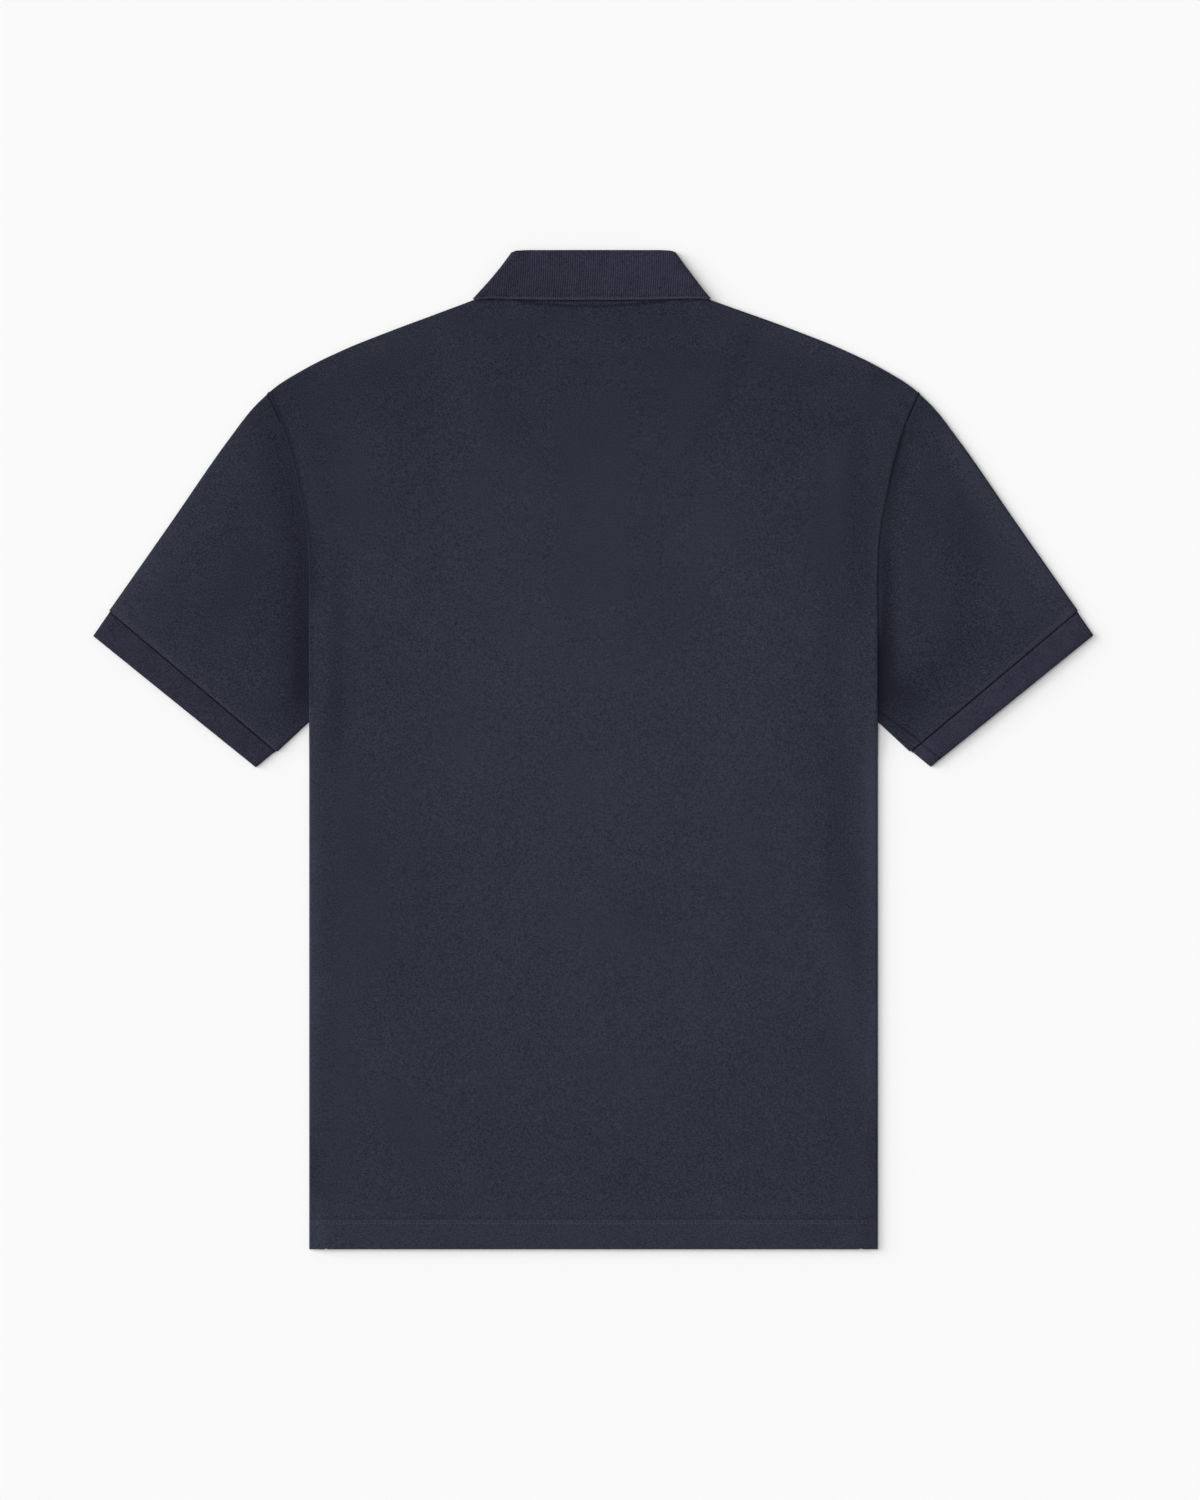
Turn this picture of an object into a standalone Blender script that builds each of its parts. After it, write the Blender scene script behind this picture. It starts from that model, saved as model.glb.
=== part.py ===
"""Short-sleeved polo shirt, laid flat on its front with its back up.

The shirt lies on z = 0 with its collar towards +Y. Each panel is one wall of cloth, and the panels
lie on each other: front, sleeves and collar points on the floor, back on top. Lengths are in
millimetres and become metres when a mesh is made. The outline is kept for the right half (+X),
because the left half is its mirror image.
"""

import math

import bmesh
import bpy
import numpy as np
from mathutils import Vector

# ---- Driving dimensions (mm) ----
OVERALL_LENGTH = 780.0      # hem to the top of the collar
BODY_WIDTH = 444.0          # body as it lies, side to side
WALL = 1.2                  # thickness of every cloth wall
GAP = 0.3                   # air between neighbouring pieces
SEAM_TURN = 10.0            # how far side and shoulder seams sit round the edge
UNDERARM_Y = 33.0           # lower end of the armhole
NECK_HALF = 82.0            # neck point, from the centre line
FRONT_TIP_X = 256.3         # where the front's shoulder seam meets the armhole, on the outline
BACK_TIP_X = 253.2          # the same for the back
SLEEVE_TIP_X = 255.0        # the same for the sleeve
BACK_NECK_Y = 350.6         # back neck seam at the centre line
BACK_NECK_RISE = 2.6        # how much higher it is at the neck points
FRONT_NECK_Y = 262.0        # front neck seam at the centre line
PUFF = 1.5                  # how much a sleeve's top layer rounds up
PLACKET_HALF = 16.0
PLACKET_BOTTOM_Y = 125.0
BUTTON_YS = (246.0, 186.0)
BUTTON_RADIUS = 5.5
BUTTON_HEIGHT = 1.8
BUTTON_DISH = 0.5           # depth of the button's hollow face, and of its rim's rounding
BUTTON_CHAMFER = 0.4        # height of the bevel on its back
BUTTON_RIM = (0.62, 0.74, 0.90)     # the hollow's edge, the rim's start and end, as shares of the radius
HOLE_RADIUS = 0.7
HOLE_OFFSET = 1.3           # from the button's axis to a hole's
HOLE_COUNT = 4

# ---- Sizes that follow from them ----
HEM_Y = -OVERALL_LENGTH / 2
BODY_HALF = BODY_WIDTH / 2
LAYER = WALL + GAP          # from the middle of one layer to the middle of the next
FOLD = LAYER / 2            # radius of a turned edge, to the middle of its wall
EDGE = FOLD + WALL / 2      # from the line where an edge starts to turn to its outside
SIDE_X = BODY_HALF - EDGE   # where the body's side edge starts to turn

# ---- Shape tables (mm) ----
# Top of the outline, from under the collar along the shoulder and down the sleeve.
TOP_OUTLINE = (
    # x, y
    (62.0, 362.0),
    (95.0, 349.7),
    (157.0, 327.4),
    (196.0, 311.8),
    (227.4, 296.2),
    (251.2, 280.6),
    (267.2, 265.0),
    (285.1, 241.6),
    (331.0, 176.0),
    (378.0, 108.8),
)

# Outer edge of the back from the side up round the armhole.
BACK_EDGE = (
    # y, x
    (33.0, 222.0),
    (100.0, 222.0),
    (143.0, 222.1),
    (159.7, 222.9),
    (178.5, 225.1),
    (198.7, 229.2),
    (227.6, 235.6),
    (254.9, 244.1),
    (277.6, 253.9),
)

# How the back's edge is turned under, by its height up the shirt: the turned strip's angle and
# length, and how many layers of sleeve lie below it.
EDGE_TURN = (
    # y, angle (degrees), strip length, layers below
    (-390.0, 180.0, 10.0, 0.0),
    (-15.0, 180.0, 10.0, 0.0),
    (22.0, 180.0, 8.0, 2.0),
    (105.0, 180.0, 6.0, 2.0),
    (128.0, 180.0, 0.6, 2.0),
    (170.0, 20.0, 0.6, 2.0),
    (256.0, 20.0, 0.6, 2.0),
    (276.0, 20.0, 0.6, 1.0),
    (300.0, 20.0, 0.6, 1.0),
)

# Lap of the back over the sleeve along the armhole. Below nothing the two only meet.
ARMHOLE_LAP = (
    # y, lap
    (33.0, SEAM_TURN),
    (195.0, SEAM_TURN),
    (225.0, 6.0),
    (245.0, 1.0),
    (258.0, -0.5),
    (300.0, -0.5),
)

# Sleeve and cuff corners on the outline.
UNDERARM = Vector((222.0, 22.1))
SLEEVE_LOW = Vector((248.2, -1.0))
CUFF_START = (Vector((377.1, 106.4)), Vector((249.0, -1.7)))
CUFF_END = (Vector((389.6, 88.7)), Vector((263.2, -13.4)))

# The collar's fold and free edge, for sections from the centre back round to the centre front.
COLLAR_BACK = (
    # seam x as a share of the neck, fold x, fold y, edge x, edge y
    (0.0, 0.0, 388.65, 0.0, 351.1),
    (0.25, 14.0, 388.65, 22.8, 351.1),
    (0.5, 28.2, 388.65, 45.7, 351.3),
    (0.75, 43.5, 388.65, 68.5, 351.9),
    (1.0, 58.0, 387.0, 90.6, 352.6),
)
COLLAR_FRONT = (
    # angle round the neck scoop (degrees), fold x, fold y, edge x, edge y
    (90.0, 58.0, 372.0, 93.5, 333.0),
    (70.0, 52.0, 343.0, 88.0, 312.0),
    (55.0, 44.0, 323.0, 80.0, 291.0),
    (40.0, 33.5, 308.0, 71.0, 271.5),
    (25.0, 21.5, 297.5, 62.0, 254.5),
    (11.85, 11.0, 291.0, 54.0, 241.0),
    (1.6, 2.6, 287.5, 46.0, 230.0),
)
COLLAR_POINT_Y = 230.0
COLLAR_SIDE = Vector((0.752, 0.659, 0.0))      # outward across the collar's side edge
LEAF_MARGIN = 9.0           # flat stretch of panel round the collar points
BACK_MARGIN = 8.0           # how much further out the back lifts clear of the front
LEAF_RAMP = 20.0            # length of the slope beyond it
MOUND_RAMP = 80.0           # length of the back's slope over the placket
BUMP_RAMP = 14.0            # length of the slope round a button
BUMP_MARGIN = 1.0           # flat stretch of panel round a button
MOUND_ABOVE = 4.0           # how far the back's slope starts above the front neck seam
STRIP_MARGIN = 1.0          # flat stretch of the back inside its turned strip
SLOPE_LENGTH = 2 * SEAM_TURN        # length of the back's slope inside that
SLEEVE_FLAT = 2.0           # flat stretch of a sleeve beside the body
SLEEVE_RAMP = 25.0          # length of its slope up to the rounded part

# ---- Mesh density ----
HEM_ROWS = 8
HEM_SPREAD = 1.5            # above 1, the rows crowd towards the underarm
NECK_COLUMNS = 5            # columns of the back from its centre line to the neck point
BACK_SHARES = (0.17, 0.4, 0.7, 1.0)         # columns of the back from there to its side's slope
FRONT_SHARES = (0.16, 0.36, 0.58, 0.8, 1.0)     # columns of the front from the neck corner to its side
NOTCH_COLUMNS = 6.0         # columns of the front that bend towards the placket's lower end
ARMHOLE_ROWS = 13
NOTCH_ROW = 5               # the row of the armhole's rows that meets the placket's lower end
SLEEVE_RINGS = 8
RING_SPREAD = 1.15          # above 1, the sleeve's rings crowd towards the armhole
BOW_FADE = 1.5              # how soon the armhole's bow fades down the sleeve
CUFF_RINGS = 2
TURN_STEPS = 4
STAND_STEPS = 3
LEAF_STEPS = 4
PLACKET_ROWS = 14
PLACKET_SHARES = (-1.0, -0.5, 0.0, 0.5, 1.0)    # columns of a placket strip, across its half-width
BUTTON_STEPS = 16
HOLE_STEPS = 6

NAVY = (0.031, 0.034, 0.049)
NAVY_RIB = (0.031, 0.030, 0.048)
BUTTON_NAVY = (0.025, 0.027, 0.040)


# ---- Curves and eases ----

def ease(share):
    """Go smoothly from 0 to 1 as share does, and stay there beyond."""
    share = min(max(share, 0.0), 1.0)
    return share * share * (3.0 - 2.0 * share)


def table_curve(rows, place, column=1):
    """Read a smooth curve through one column of a table whose first column rises."""
    places = np.array([row[0] for row in rows])
    values = np.array([row[column] for row in rows])
    slopes = np.gradient(values, places)
    low = int(np.clip(np.searchsorted(places, place) - 1, 0, len(rows) - 2))
    step = places[low + 1] - places[low]
    t = min(max((place - places[low]) / step, 0.0), 1.0)
    start = (2 * t**3 - 3 * t**2 + 1) * values[low] + (t**3 - 2 * t**2 + t) * step * slopes[low]
    end = (3 * t**2 - 2 * t**3) * values[low + 1] + (t**3 - t**2) * step * slopes[low + 1]
    return float(start + end)


def table_eased(rows, place, column):
    """Read a column of a table, easing from each row's value to the next."""
    value = rows[0][column]
    for above, below in zip(rows[1:], rows):
        share = ease((place - below[0]) / (above[0] - below[0]))
        value += (above[column] - below[column]) * share
    return value


def outline(x):
    """Give the point of the top outline at x and its outward normal."""
    reach = 0.5
    slope = (table_curve(TOP_OUTLINE, x + reach) - table_curve(TOP_OUTLINE, x - reach)) / (2 * reach)
    normal = Vector((-slope, 1.0)).normalized()
    return Vector((x, table_curve(TOP_OUTLINE, x))), normal


def inset_outline(x, distance):
    """Give the point that lies a distance inside the outline's point at x."""
    point, normal = outline(x)
    return point - normal * distance


def layer_height(number):
    """Height of the middle of a layer that lies flat, counted from 0 at the floor."""
    return WALL / 2 + number * LAYER


# ---- How the panels lie ----

def leaf_lift(x, y, margin):
    """Height that the collar points below add to a panel over them."""
    edges = sorted((row[4], row[3]) for row in COLLAR_FRONT)
    reach = float(np.interp(y, [edge[0] for edge in edges], [edge[1] for edge in edges]))
    past = max(abs(x) - reach, COLLAR_POINT_Y - y, 0.0)
    return LAYER * ease(1.0 - (past - margin) / LEAF_RAMP)


def front_lift(x, y):
    """Height of the front and of the placket above the floor."""
    bumps = [leaf_lift(x, y, LEAF_MARGIN)]
    for button_y in BUTTON_YS:
        past = math.hypot(x, y - button_y) - BUTTON_RADIUS - BUMP_MARGIN
        bumps.append((BUTTON_HEIGHT + GAP) * ease(1.0 - past / BUMP_RAMP))
    return max(bumps)


def back_lift(x, y):
    """Height that the collar points, placket and buttons add to the back."""
    aside = max(abs(x) - PLACKET_HALF, 0.0)
    below = max(PLACKET_BOTTOM_Y - y, 0.0)
    above = max(y - FRONT_NECK_Y - MOUND_ABOVE, 0.0)
    past = math.hypot(aside, below + above)
    mound = (BUTTON_HEIGHT + GAP + LAYER) * ease(1.0 - past / MOUND_RAMP)
    return max(leaf_lift(x, y, LEAF_MARGIN + BACK_MARGIN), mound)


def turn_profile(angle, length):
    """Offsets (outward, down) of a turned edge's points, from the line where it starts to turn."""
    points = []
    for step in range(1, TURN_STEPS + 1):
        turned = angle * step / TURN_STEPS
        points.append((FOLD * math.sin(turned), FOLD * (1.0 - math.cos(turned))))
    outward, down = points[-1]
    points.append((outward + length * math.cos(angle), down + length * math.sin(angle)))
    return points


def edge_turn(y):
    """Turned strip of the back's edge at y: its angle, its length and its layers below."""
    angle, length, below = (table_eased(EDGE_TURN, y, column) for column in (1, 2, 3))
    return math.radians(angle), length, below


def edge_start(y):
    """Where the back's edge starts to turn at y: its x and its height."""
    angle, length, below = edge_turn(y)
    profile = turn_profile(angle, length)
    reach = max(point[0] for point in profile) + WALL / 2 * math.sin(min(angle, math.pi / 2))
    drop = max(point[1] for point in profile)
    return back_edge(y) - reach, layer_height(below) + drop


def back_edge(y):
    """Outer edge of the back at y."""
    return table_curve(BACK_EDGE, y) if y > UNDERARM_Y else BODY_HALF


def sleeve_edge(y):
    """Armhole edge of the sleeve at y."""
    return back_edge(y) - table_eased(ARMHOLE_LAP, y, 1)


def back_height(x, y):
    """Height of the middle of the back's wall."""
    resting = layer_height(1) + back_lift(x, y)
    start, height = edge_start(y)
    past = start - abs(x) - SEAM_TURN - STRIP_MARGIN
    share = ease(1.0 - past / SLOPE_LENGTH)
    return resting + max(height - resting, 0.0) * share


def front_height(x, y):
    """Height of the middle of the front's wall."""
    return layer_height(0) + front_lift(x, y)


def back_neck(x):
    """Height up the shirt of the back neck seam at x."""
    return BACK_NECK_Y + BACK_NECK_RISE * (x / NECK_HALF) ** 2


def neck_corner():
    """Upper end of the front neck scoop, where the front's shoulder seam starts."""
    return inset_outline(NECK_HALF, EDGE + SEAM_TURN + GAP)


def front_neck(angle):
    """Point of the front neck scoop at an angle from the centre line, as on an ellipse."""
    corner = neck_corner()
    return Vector((corner.x * math.sin(angle), corner.y - (corner.y - FRONT_NECK_Y) * math.cos(angle)))


# ---- Making meshes ----

def join_rows(bm, near, far, closed=False):
    """Fill the strip between two rows of vertices with quads."""
    count = len(near) if closed else len(near) - 1
    for i in range(count):
        j = (i + 1) % len(near)
        bm.faces.new((near[i], near[j], far[j], far[i]))


def loft(bm, sections, closed=False, start=None):
    """Skin sections, each a list of points, and give the rows of vertices made."""
    rows = [] if start is None else [start]
    for section in sections:
        row = [bm.verts.new(Vector(point) / 1000.0) for point in section]
        if rows:
            join_rows(bm, rows[-1], row, closed)
        rows.append(row)
    return rows


def cloth_material(name, color, roughness=0.85):
    """Make a plain material with one colour."""
    material = bpy.data.materials.new(name)
    material.use_nodes = True
    shader = material.node_tree.nodes["Principled BSDF"]
    shader.inputs["Base Color"].default_value = (*color, 1.0)
    shader.inputs["Roughness"].default_value = roughness
    shader.inputs["Metallic"].default_value = 0.0
    return material


def finish_object(name, bm, material, thickness=None, mirrored=False):
    """Turn the mesh into an object, and give a sheet its wall thickness."""
    if mirrored:
        for vert in bm.verts:
            vert.co.x = -vert.co.x
    bmesh.ops.recalc_face_normals(bm, faces=bm.faces)
    mesh = bpy.data.meshes.new(name)
    bm.to_mesh(mesh)
    bm.free()
    mesh.shade_smooth()
    mesh.materials.append(material)
    obj = bpy.data.objects.new(name, mesh)
    bpy.context.scene.collection.objects.link(obj)
    if thickness:
        wall = obj.modifiers.new("Wall", "SOLIDIFY")
        wall.thickness = thickness / 1000.0
        wall.offset = 0.0
        wall.use_even_offset = False
    return obj


# ---- Front and back ----

def column_point(bottom_x, top, y_share, spread):
    """Point of a panel's column that rises from the underarm line to its top point."""
    y = UNDERARM_Y + (top.y - UNDERARM_Y) * y_share
    return bottom_x + (top.x - bottom_x) * spread(y), y


def hem_heights():
    """Rows from the hem up to the underarm line, closer where the side edge rises."""
    shares = [row / HEM_ROWS for row in range(HEM_ROWS)]
    return [HEM_Y + (UNDERARM_Y - HEM_Y) * (1.0 - (1.0 - share) ** HEM_SPREAD) for share in shares]


def armhole_ys():
    """Heights of the stations that back, front and sleeve share along the armhole."""
    top = inset_outline(SLEEVE_TIP_X, EDGE).y
    return [UNDERARM_Y + (top - UNDERARM_Y) * row / ARMHOLE_ROWS for row in range(ARMHOLE_ROWS + 1)]


def both_sides(columns):
    """Mirror columns at x > 0 to the left and keep their order."""
    return [(-1, column) for column in reversed(columns)] + [(1, column) for column in columns]


def back_columns():
    """Columns of the back's right half: bottom x and top point, centre column left out."""
    neck = inset_outline(NECK_HALF, EDGE)
    columns = []
    for row in range(1, NECK_COLUMNS + 1):
        x = neck.x * row / NECK_COLUMNS
        top = neck if row == NECK_COLUMNS else Vector((x, back_neck(x)))
        columns.append((x, top))
    plateau = SIDE_X - SEAM_TURN - 2 * STRIP_MARGIN
    slope_foot = plateau - SLOPE_LENGTH
    outer = [neck.x + (slope_foot - neck.x) * share for share in BACK_SHARES]
    outer += [(plateau + 2 * slope_foot) / 3, (2 * plateau + slope_foot) / 3, plateau, SIDE_X]
    for x in outer:
        share = (x - neck.x) / (SIDE_X - neck.x)
        columns.append((x, inset_outline(NECK_HALF + (BACK_TIP_X - NECK_HALF) * share, EDGE)))
    return columns


def back_section(row_points, y_edge):
    """One section across the back, with the turned strip at each end."""
    angle, length, _ = edge_turn(y_edge)
    section = [(x, y, back_height(x, y)) for x, y in row_points]
    x, y, height = section[-1]
    strip = [(x + outward, y, height - down) for outward, down in turn_profile(angle, length)]
    mirrored = [(-x, y, z) for x, y, z in reversed(strip)]
    return mirrored + section + strip


def make_back(material):
    """Back panel: sections from the hem to the neck, then the shoulders' turned strips."""
    columns = back_columns()
    sections = []
    for y in hem_heights():
        xs = [side * x for side, (x, _) in both_sides(columns)]
        xs.insert(len(columns), 0.0)
        sections.append(back_section([(x, y) for x in xs], y))
    tip = columns[-1][1]
    first = edge_start(UNDERARM_Y)[0]

    def spread(y):
        share = (edge_start(y)[0] - first) / (tip.x - first)
        return share if y < tip.y else 1.0

    for row in range(ARMHOLE_ROWS + 1):
        share = row / ARMHOLE_ROWS
        points = []
        for side, (x, top) in both_sides(columns):
            across, y = column_point(x, top, share, spread)
            points.append((side * across, y))
        centre_y = UNDERARM_Y + (BACK_NECK_Y - UNDERARM_Y) * share
        points.insert(len(columns), (0.0, centre_y))
        sections.append(back_section(points, points[-1][1]))
    bm = bmesh.new()
    top_row = loft(bm, sections)[-1]
    middle = TURN_STEPS + 1 + len(columns)
    neck_x = columns[NECK_COLUMNS - 1][0]
    for side in (-1, 1):
        shoulder = range(NECK_COLUMNS, len(columns) + 1)
        verts = [top_row[middle + side * number] for number in shoulder]
        strips = []
        for outward, down in turn_profile(math.pi, SEAM_TURN):
            strip = []
            for vert, number in zip(verts, shoulder):
                share = (columns[number - 1][0] - neck_x) / (SIDE_X - neck_x)
                normal = outline(NECK_HALF + (BACK_TIP_X - NECK_HALF) * share)[1]
                place = vert.co * 1000.0
                strip.append((place.x + side * normal.x * outward, place.y + normal.y * outward,
                              place.z - down))
            strips.append(strip)
        loft(bm, strips, start=verts)
    return finish_object("back_panel", bm, material, WALL)


def make_front(material):
    """Front panel: on the floor between the turned strips, with the neck scoop and placket slot."""
    neck = neck_corner()
    scoop = [front_neck(math.radians(row[0])) for row in reversed(COLLAR_FRONT[:-1])]
    columns = [(point.x, point) for point in scoop]
    side = BODY_HALF - SEAM_TURN - EDGE - GAP
    for share in FRONT_SHARES:
        x = neck.x + (side - neck.x) * share
        across = NECK_HALF + (FRONT_TIP_X - NECK_HALF) * share
        columns.append((x, inset_outline(across, EDGE + SEAM_TURN + 2 * GAP)))
    tip = columns[-1][1]
    stations = armhole_ys()
    step = stations[1] - stations[0]
    first = sleeve_edge(UNDERARM_Y) - GAP

    def spread(y):
        return (sleeve_edge(y) - GAP - first) / (tip.x - first) if y < tip.y else 1.0

    rows = [[(x, y) for x, _ in columns] for y in hem_heights()]
    for row in range(ARMHOLE_ROWS + 1):
        share = min(1.0, row * step / (tip.y - UNDERARM_Y))
        notch_share = NOTCH_ROW * step / (tip.y - UNDERARM_Y)
        points = []
        for number, (x, top) in enumerate(columns):
            flat = (PLACKET_BOTTOM_Y - UNDERARM_Y) / (top.y - UNDERARM_Y)
            pull = ease(1.0 - number / NOTCH_COLUMNS)
            bend = notch_share + (flat - notch_share) * pull
            if share <= notch_share:
                moved = share / notch_share * bend
            else:
                moved = bend + (share - notch_share) / (1.0 - notch_share) * (1.0 - bend)
            points.append(column_point(x, top, moved, spread))
        rows.append(points)
    bm = bmesh.new()
    halves = []
    for side_sign in (-1, 1):
        sections = [[(side_sign * x, y, front_height(x, y)) for x, y in points] for points in rows]
        halves.append(loft(bm, sections))
    below_slot = HEM_ROWS + NOTCH_ROW + 1
    middle = []
    for left_row, right_row in zip(halves[0][:below_slot], halves[1][:below_slot]):
        y = right_row[0].co.y * 1000.0
        centre = bm.verts.new(Vector((0.0, y, front_height(0.0, y))) / 1000.0)
        middle.append((left_row[0], centre, right_row[0]))
    for near, far in zip(middle, middle[1:]):
        join_rows(bm, near, far)
    return finish_object("front_panel", bm, material, WALL)


# ---- Sleeves and cuffs ----

def flat_ring(upper, lower, across, height):
    """Ring of a flattened tube between two fold points.

    across lists (share, x, y) from the upper fold to the lower one, and height gives the middle of
    the top layer's wall at such an entry.
    """
    outward = (upper - lower).normalized()
    centre = layer_height(0) + FOLD
    ring = [(x, y, height(share, x, y)) for share, x, y in across]
    for fold, way, start in ((lower, -outward, 1), (upper, outward, -1)):
        if fold is upper:
            ring += [(x, y, layer_height(0)) for _, x, y in reversed(across)]
        for step in range(1, TURN_STEPS):
            angle = math.pi * step / TURN_STEPS
            place = fold + way * FOLD * math.sin(angle)
            ring.append((place.x, place.y, centre + start * FOLD * math.cos(angle)))
    return ring


def sleeve_height(share, x, y):
    """Middle of the sleeve's top wall: low beside the body, rounded beyond it."""
    past = x - back_edge(min(y, BACK_EDGE[-1][0])) - SLEEVE_FLAT
    arch = math.sqrt(max(math.sin(math.pi * share), 0.0))
    return layer_height(1) + PUFF * ease(past / SLEEVE_RAMP) * arch


def make_sleeve(name, material, mirrored):
    """Sleeve: flattened tube from the armhole to the cuff seam."""
    stations = list(reversed(armhole_ys()))
    top = inset_outline(SLEEVE_TIP_X, EDGE)
    armhole = [Vector((sleeve_edge(y), y)) for y in stations]
    armhole[0] = top
    low_way = (SLEEVE_LOW - UNDERARM).normalized()
    inward = Vector((-low_way.y, low_way.x))
    low_end = SLEEVE_LOW + inward * EDGE
    rings = []
    for ring_number in range(SLEEVE_RINGS + 1):
        along = ring_number / SLEEVE_RINGS
        reach = (TOP_OUTLINE[-1][0] - SLEEVE_TIP_X) * along**RING_SPREAD
        upper = inset_outline(SLEEVE_TIP_X + reach, EDGE)
        lower = armhole[-1].lerp(low_end, along)
        across = []
        for number, point in enumerate(armhole):
            share = number / ARMHOLE_ROWS
            bow = point - top.lerp(armhole[-1], share)
            place = upper.lerp(lower, share) + bow * (1.0 - along) ** BOW_FADE
            across.append((share, place.x, place.y))
        rings.append(flat_ring(upper, lower, across, sleeve_height))
    bm = bmesh.new()
    loft(bm, rings, closed=True)
    return finish_object(name, bm, material, WALL, mirrored)


def make_cuff(name, material, mirrored):
    """Cuff: flattened tube from the cuff seam to the sleeve's opening."""
    rings = []
    for ring_number in range(CUFF_RINGS + 1):
        along = ring_number / CUFF_RINGS
        outer = CUFF_START[0].lerp(CUFF_END[0], along)
        inner = CUFF_START[1].lerp(CUFF_END[1], along)
        way = (inner - outer).normalized()
        upper = outer + way * EDGE
        lower = inner - way * EDGE
        across = []
        for number in range(ARMHOLE_ROWS + 1):
            share = number / ARMHOLE_ROWS
            place = upper.lerp(lower, share)
            across.append((share, place.x, place.y))
        rings.append(flat_ring(upper, lower, across, sleeve_height))
    bm = bmesh.new()
    loft(bm, rings, closed=True)
    return finish_object(name, bm, material, WALL, mirrored)


# ---- Collar ----

def collar_section(seam, fold, edge, turn):
    """Section of the folded collar: stand up to the fold, over it, and down the leaf.

    turn is 0 on the back, where the leaf lies on top, and pi on the front, where it lies below.
    """
    middle = layer_height(1) + FOLD
    outward = COLLAR_SIDE * math.sin(turn) + Vector((0.0, 0.0, math.cos(turn)))
    base = Vector((0.0, 0.0, middle))
    upward = (fold - seam).normalized()
    foot = seam + upward * (GAP + EDGE * math.sin(turn))
    section = []
    for step in range(STAND_STEPS + 1):
        section.append(foot.lerp(fold, step / STAND_STEPS).to_3d() + outward * FOLD + base)
    for step in range(1, TURN_STEPS):
        angle = math.pi * step / TURN_STEPS
        place = fold + upward * FOLD * math.sin(angle)
        section.append(place.to_3d() + outward * (LAYER - FOLD * math.cos(angle)) + base)
    for step in range(LEAF_STEPS + 1):
        section.append(fold.lerp(edge, step / LEAF_STEPS).to_3d() + outward * (LAYER + FOLD) + base)
    return section


def make_collar(material):
    """Collar: one knitted band, folded over, from one front point round the neck to the other."""
    neck = inset_outline(NECK_HALF, EDGE)
    half = []
    for share, fold_x, fold_y, edge_x, edge_y in COLLAR_BACK:
        x = neck.x * share
        seam = neck if share == 1.0 else Vector((x, back_neck(x)))
        half.append(collar_section(seam, Vector((fold_x, fold_y)), Vector((edge_x, edge_y)), 0.0))
    side_fold = Vector(COLLAR_BACK[-1][1:3])
    side_edge = Vector(COLLAR_BACK[-1][3:5])
    for step in range(1, TURN_STEPS + 1):
        half.append(collar_section(neck, side_fold, side_edge, math.pi * step / TURN_STEPS))
    for degrees, fold_x, fold_y, edge_x, edge_y in COLLAR_FRONT:
        seam = front_neck(math.radians(degrees))
        half.append(collar_section(seam, Vector((fold_x, fold_y)), Vector((edge_x, edge_y)), math.pi))
    left = [[(-x, y, z) for x, y, z in section] for section in reversed(half[1:])]
    bm = bmesh.new()
    loft(bm, left + half)
    return finish_object("collar", bm, material, WALL)


# ---- Placket and buttons ----

def make_placket(name, material, half_width, layer):
    """Placket strip that follows the front's height, from the neck seam to its lower end."""
    sections = []
    for row in range(PLACKET_ROWS + 1):
        section = []
        for share in PLACKET_SHARES:
            x = share * half_width
            angle = math.asin(abs(x) / neck_corner().x)
            top = front_neck(angle).y - GAP
            y = PLACKET_BOTTOM_Y + GAP + (top - PLACKET_BOTTOM_Y - GAP) * row / PLACKET_ROWS
            section.append((x, y, front_height(x, y) + layer * LAYER))
        sections.append(section)
    bm = bmesh.new()
    loft(bm, sections)
    return finish_object(name, bm, material, WALL)


def make_button(name, material, y):
    """Four-hole button, face down on the floor, turned about its own axis."""
    radius = BUTTON_RADIUS
    hollow, rim_start, rim_end = (share * radius for share in BUTTON_RIM)
    profile = (
        # distance from the axis, height
        (0.0, BUTTON_DISH),
        (hollow, BUTTON_DISH),
        (rim_start, 0.0),
        (rim_end, 0.0),
        (radius, BUTTON_DISH),
        (radius, BUTTON_HEIGHT - BUTTON_CHAMFER),
        (rim_end, BUTTON_HEIGHT),
        (0.0, BUTTON_HEIGHT),
    )
    bm = bmesh.new()
    verts = [bm.verts.new((r / 1000.0, y / 1000.0, z / 1000.0)) for r, z in profile]
    edges = [bm.edges.new(pair) for pair in zip(verts, verts[1:])]
    bmesh.ops.spin(bm, geom=verts + edges, cent=(0.0, y / 1000.0, 0.0), axis=(0.0, 0.0, 1.0),
                   angle=2.0 * math.pi, steps=BUTTON_STEPS, use_merge=True)
    bmesh.ops.remove_doubles(bm, verts=bm.verts, dist=1e-6)
    button = finish_object(name, bm, material)
    holes = bmesh.new()
    for number in range(HOLE_COUNT):
        angle = 2.0 * math.pi * (number + 0.5) / HOLE_COUNT
        across, up = math.cos(angle) * HOLE_OFFSET, math.sin(angle) * HOLE_OFFSET
        centre = Vector((across, y + up, BUTTON_HEIGHT / 2)) / 1000.0
        made = bmesh.ops.create_cone(holes, cap_ends=True, segments=HOLE_STEPS, radius1=HOLE_RADIUS / 1000.0,
                                     radius2=HOLE_RADIUS / 1000.0, depth=3 * BUTTON_HEIGHT / 1000.0)
        bmesh.ops.translate(holes, verts=made["verts"], vec=centre)
    cutter = finish_object(name + "_holes", holes, material)
    cutter.hide_render = True
    cutter.display_type = "WIRE"
    cut = button.modifiers.new("Holes", "BOOLEAN")
    cut.operation = "DIFFERENCE"
    cut.object = cutter
    return button


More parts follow.
